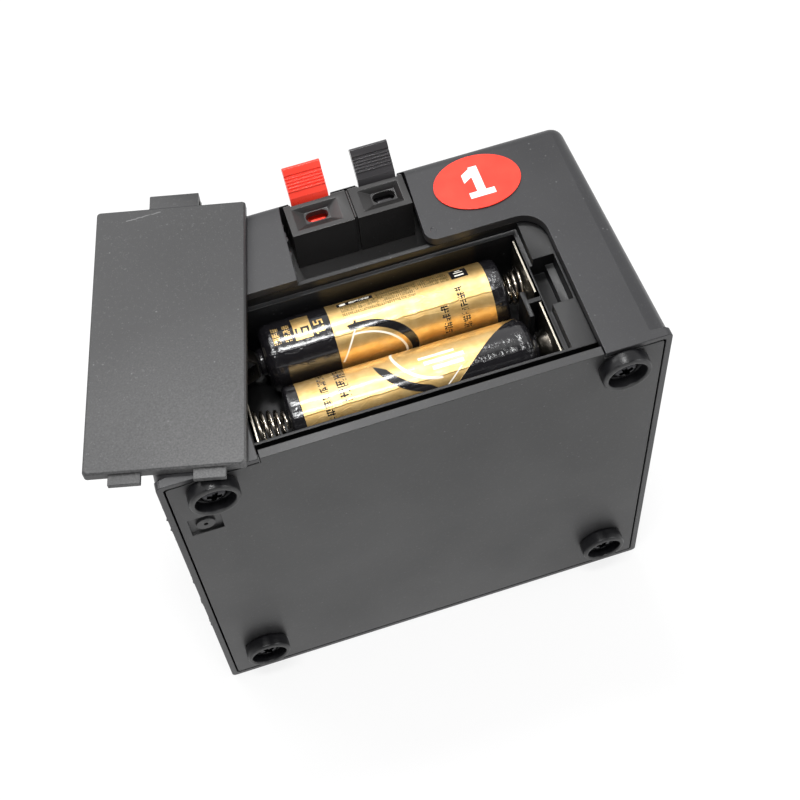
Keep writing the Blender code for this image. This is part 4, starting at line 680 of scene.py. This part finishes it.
def wire_mesh(name, path, radius, sides):
    """A circle carried along a path: point + radius x (cos x normal + sin x binormal), closed at both ends.

    The normal is the part of a fixed direction that lies across the path. The end circles face as their
    neighbours do.
    """
    tangent = np.gradient(path, axis=0)
    tangent /= np.linalg.norm(tangent, axis=1)[:, None]
    fixed = np.array((0.31, 0.52, 0.79))
    normal = fixed - tangent * (tangent @ fixed)[:, None]
    normal /= np.linalg.norm(normal, axis=1)[:, None]
    binormal = np.cross(tangent, normal)
    angles = np.linspace(0.0, TAU, sides, endpoint=False)[:, None]
    circles = normal[:, None] * np.cos(angles) + binormal[:, None] * np.sin(angles)
    circles[0], circles[-1] = circles[1], circles[-2]
    middles = path[:, None] + np.zeros((sides, 1))
    points = np.concatenate([middles[:1], middles + radius * circles, middles[-1:]])
    return sheet_mesh(name, points, close_columns=True)


def softened(
    node, name, finish, slot, edge, angle=30.0, segments=2, body="base", rounder=None, split=False
):
    """A copy of a solid with its triangles merged into flat faces and its edges rounded.

    edge is the rounding's width in mm, at every edge sharper than angle. rounder changes the shape before
    that. split cuts many-sided faces into triangles first, where rounding would fill them wrongly.
    """
    shape = bmesh.new()
    shape.from_mesh(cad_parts[node].data)
    bmesh.ops.remove_doubles(shape, verts=shape.verts, dist=3e-6)
    bmesh.ops.dissolve_limit(shape, angle_limit=math.radians(0.5), verts=shape.verts, edges=shape.edges)
    if rounder:
        rounder(shape)
    if split:
        bmesh.ops.triangulate(shape, faces=[face for face in shape.faces if len(face.verts) > 4])
    mesh = bpy.data.meshes.new(name)
    shape.to_mesh(mesh)
    shape.free()
    piece = finished(name, mesh, finish, slot, body, (node,), angle)
    if edge:
        # The hardened normals take the place of the sharp edges.
        mesh.shade_smooth()
        bevel = piece.modifiers.new("rounded edges", "BEVEL")
        bevel.width = edge * MM
        bevel.segments = segments
        bevel.limit_method = "ANGLE"
        bevel.angle_limit = math.radians(angle)
        bevel.use_clamp_overlap = False
        bevel.harden_normals = True


# Housing


def flash_mesh(name, start, end, out, side, most, seed):
    """A ragged sliver of moulding flash: a wedge along a line, its width most x a clipped sum of sines."""
    start, end, out, side = (np.array(part, float) for part in (start, end, out, side))
    root, thickness = 0.25, 0.12
    share = np.linspace(0.0, 1.0, 160)
    waves = np.sin(19 * share + seed) * 0.6 + np.sin(47 * share + 2 * seed) * 0.3
    waves += np.sin(131 * share + seed) * 0.15
    ends = np.clip(np.minimum(share, 1 - share) * 30, 0, 1)
    width = (most * np.clip(0.35 + 0.8 * waves, 0.04, 1.0) * ends)[:, None]
    thick = (thickness * ends + 1e-4)[:, None]
    line = start + (end - start) * share[:, None]
    section = [
        line - out * root - side * thick,
        line - out * root + side * thick,
        line + out * width * 0.8 + side * thick * 0.5,
        line + out * width,
        line + out * width * 0.8 - side * thick * 0.5,
    ]
    points = np.stack(section, axis=1)
    middle = points.mean(axis=1, keepdims=True)
    points[[0, -1]] = middle[[0, -1]]
    return sheet_mesh(name, points, close_columns=True)


def make_housing(black):
    """The shell, slivers of flash on its rim and its notch, and the ring of a moulding gate on its face."""
    softened("housing", "shell", black, "shell_black", edge=0.15, angle=32.0, segments=3)
    left, right, front, back, up = (-1, 0, 0), (1, 0, 0), (0, -1, 0), (0, 1, 0), (0, 0, 1)
    slivers = (
        ("rim_flash_upper", (-49.72, 0.2, 89.0), (-49.75, 0.2, 74.0), left, back, 0.5, 1.0),
        ("rim_flash_lower", (-49.8, 0.2, 66.0), (-49.9, 0.2, 30.0), left, back, 0.32, 2.3),
        ("notch_flash", (-13.25, 37.2, 95.12), (-12.4, 50.3, 94.86), right, up, 0.4, 0.4),
        ("rim_flash_front", (-18.0, 0.15, 95.8), (8.0, 0.15, 95.8), front, up, 0.22, 3.1),
    )
    for name, start, end, out, side, most, seed in slivers:
        mesh = flash_mesh(name, start, end, out, side, most, seed)
        finished(name, mesh, black, "shell_black", sharp=60.0)
    face = 95.2
    ring = [(0.75, face), (0.75, face + 0.05), (0.62, face + 0.09), (0.5, face + 0.05), (0.5, face)]
    mesh = closed_turned("gate_mark", "z", (15.35, 38.44), ring, sides=40, soft=0.02, step=0.04)
    finished("gate_mark", mesh, black, "shell_black", sharp=50.0)


# Feet and their screws


def make_foot(place, x, z, rubber, black):
    """A cup, its closed section carried round the screw's axis, and its screw, turned as it came to stop."""
    section = [
        (1.7, -0.15), (4.8, -0.15), (4.95, -0.4), (4.98, -1.6), (4.9, -2.7), (4.62, -3.12),
        (4.3, -3.2), (4.0, -3.1), (3.88, -2.8), (3.85, -0.8), (3.6, -0.62), (1.7, -0.6),
    ]
    cup, bolt = "foot_cup_" + place, "foot_bolt_" + place
    mesh = closed_turned(cup, "v", (x, z), section, sides=72, soft=0.12, step=0.2)
    finished(cup, mesh, rubber, "foot_rubber", stands_for=("foot_" + place,), sharp=50.0)
    mesh = bolt_mesh(bolt, x, z, turn=0.35 + x * 0.07 + z * 0.03)
    finished(bolt, mesh, black, "screw_black", stands_for=("foot_screw_" + place,), sharp=40.0)


def bolt_mesh(name, x, z, turn, sides=96):
    """A pan head with a tapering cross recess, and a threaded shank, both round a line along v.

    The head's height = high x (0.42 + 0.58 sqrt(1 - (r / head)^2.6)) less the recess, which gets shallower
    from the middle and lies inside the cross |a| < slot, |b| < arm or |a| < arm, |b| < slot. The shank's
    radius = (shank - thread x (1 - a saw of the turns)) x a taper to its tip.
    """
    seat, high, head = -0.65, 1.35, 2.6
    tip, shank, thread, pitch = 11.0, 1.3, 0.2, 0.9
    slot, arm = 0.5, 1.4
    angles = np.linspace(0.0, TAU, sides, endpoint=False)

    def rings(radius, along):
        """Circles round the bolt's line, each with its radius and its place along v."""
        ring = (x + radius * np.cos(angles), along + 0 * angles, z + radius * np.sin(angles))
        return np.stack(ring, axis=-1)

    radii = np.concatenate([[0.0], np.linspace(0.06, 0.97, 34), [0.99, 1.0]])[:, None] * head
    a = np.abs(radii * np.cos(angles + turn))
    b = np.abs(radii * np.sin(angles + turn))
    inside = -np.minimum(np.maximum(a - slot, b - arm), np.maximum(b - slot, a - arm))
    recess = np.clip(inside / 0.09, 0, 1) * (0.95 - 0.35 * radii / head) * high * 0.75
    dome = high * (0.42 + 0.58 * np.sqrt(np.clip(1 - (radii / head) ** 2.6, 0, 1)))
    skirt = np.array([(head, 0.34 * high), (head, 0.04 * high), (head - 0.12, 0.0), (shank + 0.1, 0.0)])
    share = np.linspace(0.0, 1.0, 110)[:, None]
    saw = np.abs((share * (tip - seat) / pitch + angles / TAU) % 1.0 - 0.5) * 2
    taper = np.clip((1.0 - share) / 0.14, 0.0, 1.0) ** 0.8
    rows = [
        rings(radii, seat - dome + recess),
        rings(skirt[:, :1], seat - skirt[:, 1:]),
        rings((shank - thread + thread * saw) * taper, seat + (tip - seat) * share),
    ]
    return sheet_mesh(name, np.concatenate(rows), close_columns=True, weld=1e-6)


# Contacts, springs and cells


def make_contacts(painted_dark_nickel, steel):
    """The contact plates, and the springs: radius = wide + (narrow - wide) x share, angle = turns x share."""
    plates = (
        ("contact_link", "link_plate"),
        ("contact_negative", "spring_plate"),
        ("contact_positive", "button_plate"),
    )
    for node, name in plates:
        softened(node, name, painted_dark_nickel, "contact_nickel", edge=0.07, angle=25.0)
    wide, narrow, wire_radius = 3.9, 2.5, 0.32
    coils = (
        ("cell_spring_right", "coil_right", 29.78, 26.07, 3.3, FAR_CELL),
        ("cell_spring_left", "coil_left", -28.98, -23.07, 4.4, NEAR_CELL),
    )
    for node, name, start, end, turns, (_, middle) in coils:
        share = np.linspace(0.0, 1.0, int(turns * 44))
        radius = wide + (narrow - wide) * share
        angle = TAU * turns * share
        across = (middle + radius * np.cos(angle), CELL_AXIS + radius * np.sin(angle))
        path = np.stack([start + (end - start) * share, *across], axis=1)
        mesh = wire_mesh(name, path, wire_radius, sides=16)
        finished(name, mesh, steel, "spring_steel", stands_for=(node,), sharp=60.0)


def make_cell(node, name, body, cell, plus_right, finish):
    """A cell's can in its sleeve: a stepped profile carried round x, with folds where the film is shrunk on.

    radius = profile + 0.05 x (waves of the angle - 1) x nearness to an end - 0.018 x (1 + a slow wave of
    both), and the profile alone on the bare plus end. depth is the length from the flat minus end.
    """
    left, middle = cell
    can_length, sleeve_end = 49.3, 49.0
    start, way = (left, 1.0) if plus_right else (left + can_length, -1.0)
    profile = [
        (0.0, 0.25), (3.4, 0.25), (3.8, 0.05), (4.9, 0.0), (6.1, 0.0), (6.7, 0.16),
        (6.96, 0.6), (6.98, 1.4), (6.98, 45.4), (6.9, 46.3), (6.98, 46.9), (6.9, 47.7),
        (6.4, 48.6), (5.6, 49.15), (4.8, 49.25), (4.5, 49.0), (3.1, 49.0),
        (2.95, 49.1), (2.74, 49.5), (2.72, 50.15), (2.5, 50.42), (0.0, 50.45),
    ]
    corners = [(radius, start + way * depth) for radius, depth in profile]

    def folds(along, angle):
        """What the film's shrinking adds to the radius."""
        depth = way * (along - start)
        ends = np.clip(1 - np.abs(depth - 0.9) / 1.7, 0, 1) + np.clip(1 - np.abs(depth - 47.8) / 2.2, 0, 1)
        waves = np.sin(17 * angle + 1.3 * np.sin(5 * angle)) * 0.6 + np.sin(41 * angle + 2.0) * 0.4
        shrink = np.sin(0.9 * along + 3 * angle) * np.sin(0.37 * along - 2 * angle)
        return np.where(depth < sleeve_end, ends * (waves - 1.0) * 0.05 - 0.018 * (1 + shrink), 0.0)

    centre = (middle, CELL_AXIS)
    mesh = turned(name, "x", centre, corners, sides=160, soft=0.14, step=0.22, radius_change=folds)
    finished(name, mesh, finish, "cell_gold", body, stands_for=(node,), sharp=50.0)


# Push terminal


def shape_block(shape):
    """Lifts the floor of a block's funnel and rounds the far top edges on both sides of the lever."""
    solid_floor, floor, top, far_v, cheek, near = 92.8, 93.65, 95.0, 54.7, 1.1, 0.02

    def far_top(corner):
        """Whether a corner ends one of the far top edges."""
        return abs(corner.co.z / MM - top) < near and abs(corner.co.y / MM + HALF_DEPTH - far_v) < near

    for corner in shape.verts:
        if abs(corner.co.z / MM - solid_floor) < near:
            corner.co.z = floor * MM
    edges = [edge for edge in shape.edges if all(map(far_top, edge.verts))]
    bmesh.ops.bevel(shape, geom=edges, offset=cheek * MM, segments=5, profile=0.5, affect="EDGES")


def rib_mesh(name, x, near, far, low, top, half):
    """A thin upright rib: a round-topped section carried along v, drawn in at both ends."""
    angle = np.linspace(0.0, math.pi, 9)
    arch = np.stack([half * np.cos(angle), top - half + half * np.sin(angle)], axis=1)
    section = np.concatenate([[(half, low)], arch, [(-half, low)]])
    along = np.array([near, near, near + 0.15, far - 0.6, far, far])
    drop = np.array([0.0, 0.12, 0.0, 0.0, 0.5, 0.0])
    size = np.array([0.0, 0.9, 1.0, 1.0, 0.9, 0.0])
    middle = np.array((0.0, (low + top) / 2))
    rings = middle + (section - middle) * size[:, None, None]
    rings[:, :, 1] -= drop[:, None] * (section[:, 1] > low + 0.1)
    points = np.stack([x + rings[..., 0], along[:, None] + 0 * rings[..., 0], rings[..., 1]], axis=-1)
    return sheet_mesh(name, points, close_columns=True)


def bar_mesh(name, start, end, section, softness=0.1):
    """A section of corners in v and z carried along x, drawn in over softness to closed ends."""
    section = np.array(section)
    middle = section.mean(axis=0)
    size = np.array([0.0, 0.93, 1.0, 1.0, 0.93, 0.0])
    along = np.array([start, start, start + softness, end - softness, end, end])
    rings = middle + (section - middle) * size[:, None, None]
    points = np.concatenate([along[:, None, None] + 0 * rings[..., :1], rings], axis=-1)
    return sheet_mesh(name, points, close_columns=True)


def make_terminal(black, red, grey, brass, zinc):
    """The flange, the rib between the blocks, the web that closes the notch's floor, and both blocks.

    Each block has its lever, the lever's tongue that shows in the wire slot, and its clip.
    """
    softened("terminal_base", "terminal_flange", black, "terminal_black", edge=0.08)
    mesh = rib_mesh("block_rib", x=2.0, near=46.7, far=54.4, low=84.2, top=95.1, half=0.24)
    finished("block_rib", mesh, black, "terminal_black")
    web = [
        (37.25, 81.7), (37.45, 81.5), (43.8, 81.5), (44.0, 81.7),
        (44.0, 82.3), (43.8, 82.5), (37.45, 82.5), (37.25, 82.3),
    ]
    finished("notch_web", bar_mesh("notch_web", -16.0, 18.4, web), black, "terminal_black")
    tongue = [
        (49.86, 90.4), (51.3, 90.4), (51.15, 91.7), (50.47, 93.22),
        (50.36, 93.3), (50.0, 93.3), (49.88, 93.18),
    ]
    half_tongue = 1.45
    for color, lever, slot_x in (("red", red, -5.1), ("black", grey, 8.9)):
        name = "press_tongue_" + color
        mesh = bar_mesh(name, slot_x - half_tongue, slot_x + half_tongue, tongue, softness=0.15)
        body, slot = color + "_lever", "lever_" + color
        finished(name, mesh, lever, slot, body)
        block, name = "terminal_block_" + color, "terminal_body_" + color
        softened(
            block, name, black, "terminal_black",
            edge=0.08, angle=25.0, segments=3, rounder=shape_block,
        )
        softened("lever_" + color, "press_" + color, lever, slot, edge=0.07, angle=28.0, body=body)
        softened("terminal_clip_" + color, "wire_clip_" + color, brass, "brass", edge=0.06, angle=20.0)
    softened("terminal_pin", "hinge_pin", zinc, "screw_zinc", edge=0.1, angle=40.0)


# Fountain cup, switch and lamp


def make_cup(black):
    """The cup that a fountain stands in, turned round v, and its ring nut."""
    section = [
        (0.0, 29.65), (16.6, 29.65), (17.0, 30.1), (17.0, 56.15), (19.8, 56.15), (20.0, 56.4), (20.0, 57.2),
        (19.6, 57.65), (15.5, 57.65), (15.05, 57.2), (15.0, 32.0), (14.6, 31.65), (0.0, 31.65),
    ]
    mesh = turned("cup", "v", (0.0, 44.0), section, sides=144, soft=0.15, step=0.35)
    finished("cup", mesh, black, "terminal_black", stands_for=("fountain_cup",), sharp=40.0)
    softened("cup_nut", "cup_ring_nut", black, "terminal_black", edge=0.3, segments=3)


def make_switch(black, grey, brass, lens):
    """The power rocker in its frame with its blades, and the lamp: a round-ended rod turned round v."""
    softened("switch_frame", "rocker_bezel", black, "terminal_black", edge=0.25, segments=3)
    softened(
        "switch_rocker", "rocker_cap", grey, "terminal_black",
        edge=0.3, angle=20.0, segments=3, body="power_rocker",
    )
    for side in "ab":
        softened("switch_blade_" + side, "solder_blade_" + side, brass, "brass", edge=0.08)
    radius, dome_start, dome_height = 2.5, 56.8, 1.8
    profile = [(0.0, 52.65), (3.0, 52.65), (3.0, 53.85), (radius, 53.85), (radius, dome_start)]
    profile += [
        (radius * math.cos(rise), dome_start + dome_height * math.sin(rise))
        for rise in np.radians(np.linspace(10, 80, 8))
    ]
    profile.append((0.0, dome_start + dome_height))
    mesh = turned("lamp_lens", "v", (32.0, 70.0), profile, sides=64, soft=0.1, step=0.12)
    finished("lamp_lens", mesh, lens, "lamp_red", stands_for=("indicator_lens",), sharp=40.0)


# Circuit board and wires


def make_board(green, blue, zinc, grey, brass):
    """The circuit board, what stands on it, and its screws."""
    pieces = (
        ("circuit_board", "main_board", green, "board_green", 0.1, 40.0),
        ("relay", "relay_case", blue, "relay_blue", 0.2, 30.0),
        ("radio_module", "radio_can", zinc, "screw_zinc", 0.12, 30.0),
        ("controller_chip", "chip_body", grey, "lever_black", 0.06, 30.0),
        ("capacitor", "can_capacitor", grey, "lever_black", 0.12, 30.0),
        ("antenna_coil", "aerial", brass, "brass", 0.0, 60.0),
    )
    for node, name, finish, slot, edge, angle in pieces:
        softened(node, name, finish, slot, edge, angle)
    for k in range(1, 5):
        softened(f"board_screw_{k}", f"board_bolt_{k}", zinc, "screw_zinc", edge=0.06)


def make_wires(red, black):
    """Every lead, as its solid has it."""
    reds = ("cell_positive", "terminal_red")
    blacks = ("cell_negative", "terminal_black", "switch_a", "switch_b", "lamp")
    for finish, slot, leads in ((red, "wire_red", reds), (black, "wire_black", blacks)):
        for lead in leads:
            softened("wire_" + lead, "lead_" + lead, finish, slot, edge=0.0, angle=70.0)


# The whole


bpy.context.scene.view_settings.view_transform = "Standard"
make_camera()
make_stage()
shell_black = moulded("shell_black", (0.020, 0.020, 0.022), 0.42, grain=0.6)
plate_black = moulded("plate_black", (0.020, 0.020, 0.021), 0.45, sparkle=0.4, seed=0.3)
cover_black = moulded(
    "cover_black", (0.021, 0.021, 0.022), 0.43, grain=1.2, sparkle=1.0, seed=0.6, scuffs_and_sheen=cover_scuffs_and_sheen
)
tray_black = moulded("tray_black", (0.004, 0.004, 0.0045), 0.42, sparkle=0.2, seed=0.9, ior=1.42)
terminal_black = moulded("terminal_black", (0.022, 0.021, 0.021), 0.38, grain=0.3, sparkle=0.15, seed=1.2)
press_black = moulded("press_black", (0.048, 0.046, 0.049), 0.22, grain=0.05, sparkle=0.0, seed=1.5)
rocker_black = moulded(
    "rocker_black", (0.018, 0.017, 0.018), 0.3, grain=0.3, sparkle=0.0, seed=1.7, scuffs_and_sheen=rocker_marks
)
press_red = moulded("press_red", (0.88, 0.050, 0.028), 0.28, grain=0.06, sparkle=0.0, seed=1.8)
rubber_black = rubbery("rubber_black", (0.005, 0.005, 0.006))
screw_black = bright_metal(
    "screw_black", (0.032, 0.032, 0.035), 0.2, streaks=(0.4, 0.4, 0.4), tarnish=(0.014, 0.014, 0.014)
)
zinc = bright_metal("zinc", (0.62, 0.62, 0.63), 0.3)
# The nickel's own colour is painted dark, as painted shade and a painted reflection of the dark tray round
# the plates, and its rim is a painted highlight on the plates' top edges above z 90.15 mm.
painted_dark_nickel = bright_metal(
    "painted_dark_nickel",
    (0.24, 0.22, 0.19),
    0.26,
    streaks=(0.3, 0.3, 1.0),
    tarnish=(0.14, 0.09, 0.05),
    worn=0.5,
    rim=(90.15, (0.50, 0.46, 0.38)),
)
spring_steel = bright_metal(
    "spring_steel", (0.62, 0.57, 0.49), 0.17, streaks=(1.0, 1.0, 1.0), tarnish=(0.22, 0.14, 0.08), worn=0.6
)
brass = bright_metal("brass", (0.72, 0.50, 0.20), 0.25)
board_green = board_finish("board_green")
relay_blue = moulded("relay_blue", (0.02, 0.09, 0.34), 0.35, grain=0.3, sparkle=0.1, seed=2.1)
wire_red = moulded("wire_red", (0.60, 0.025, 0.02), 0.4, grain=0.3, sparkle=0.0, seed=2.4)
wire_black = moulded("wire_black", (0.012, 0.012, 0.012), 0.4, grain=0.3, sparkle=0.1, seed=2.7)
lamp_red = clear_lens("lamp_red")
label_red = printed_label("label_red", middle_x=27.4, middle_v=46.8)
sleeve_front = printed_sleeve("sleeve_front", NEAR_CELL, near_print)
sleeve_rear = printed_sleeve("sleeve_rear", FAR_CELL, far_print)

make_housing(shell_black)
softened("bottom_plate", "plate", plate_black, "shell_black", edge=0.11, angle=40.0)
softened(
    "battery_cover", "cover_panel", cover_black, "shell_black",
    edge=0.11, angle=25.0, segments=3, body="cover",
)
for place, (x, z) in FEET.items():
    make_foot(place, x, z, rubber_black, screw_black)
softened("battery_tray", "tray", tray_black, "tray_black", edge=0.14, angle=35.0, split=True)
make_contacts(painted_dark_nickel, spring_steel)
make_cell("cell_near", "cell_front", "cell_one", NEAR_CELL, plus_right=True, finish=sleeve_front)
make_cell("cell_far", "cell_rear", "cell_two", FAR_CELL, plus_right=False, finish=sleeve_rear)
make_terminal(terminal_black, press_red, press_black, brass, zinc)
softened("channel_sticker", "label_disc", label_red, "sticker_red", edge=0.08, angle=40.0)
make_cup(terminal_black)
make_switch(terminal_black, rocker_black, brass, lamp_red)
make_board(board_green, relay_blue, zinc, press_black, brass)
make_wires(wire_red, wire_black)
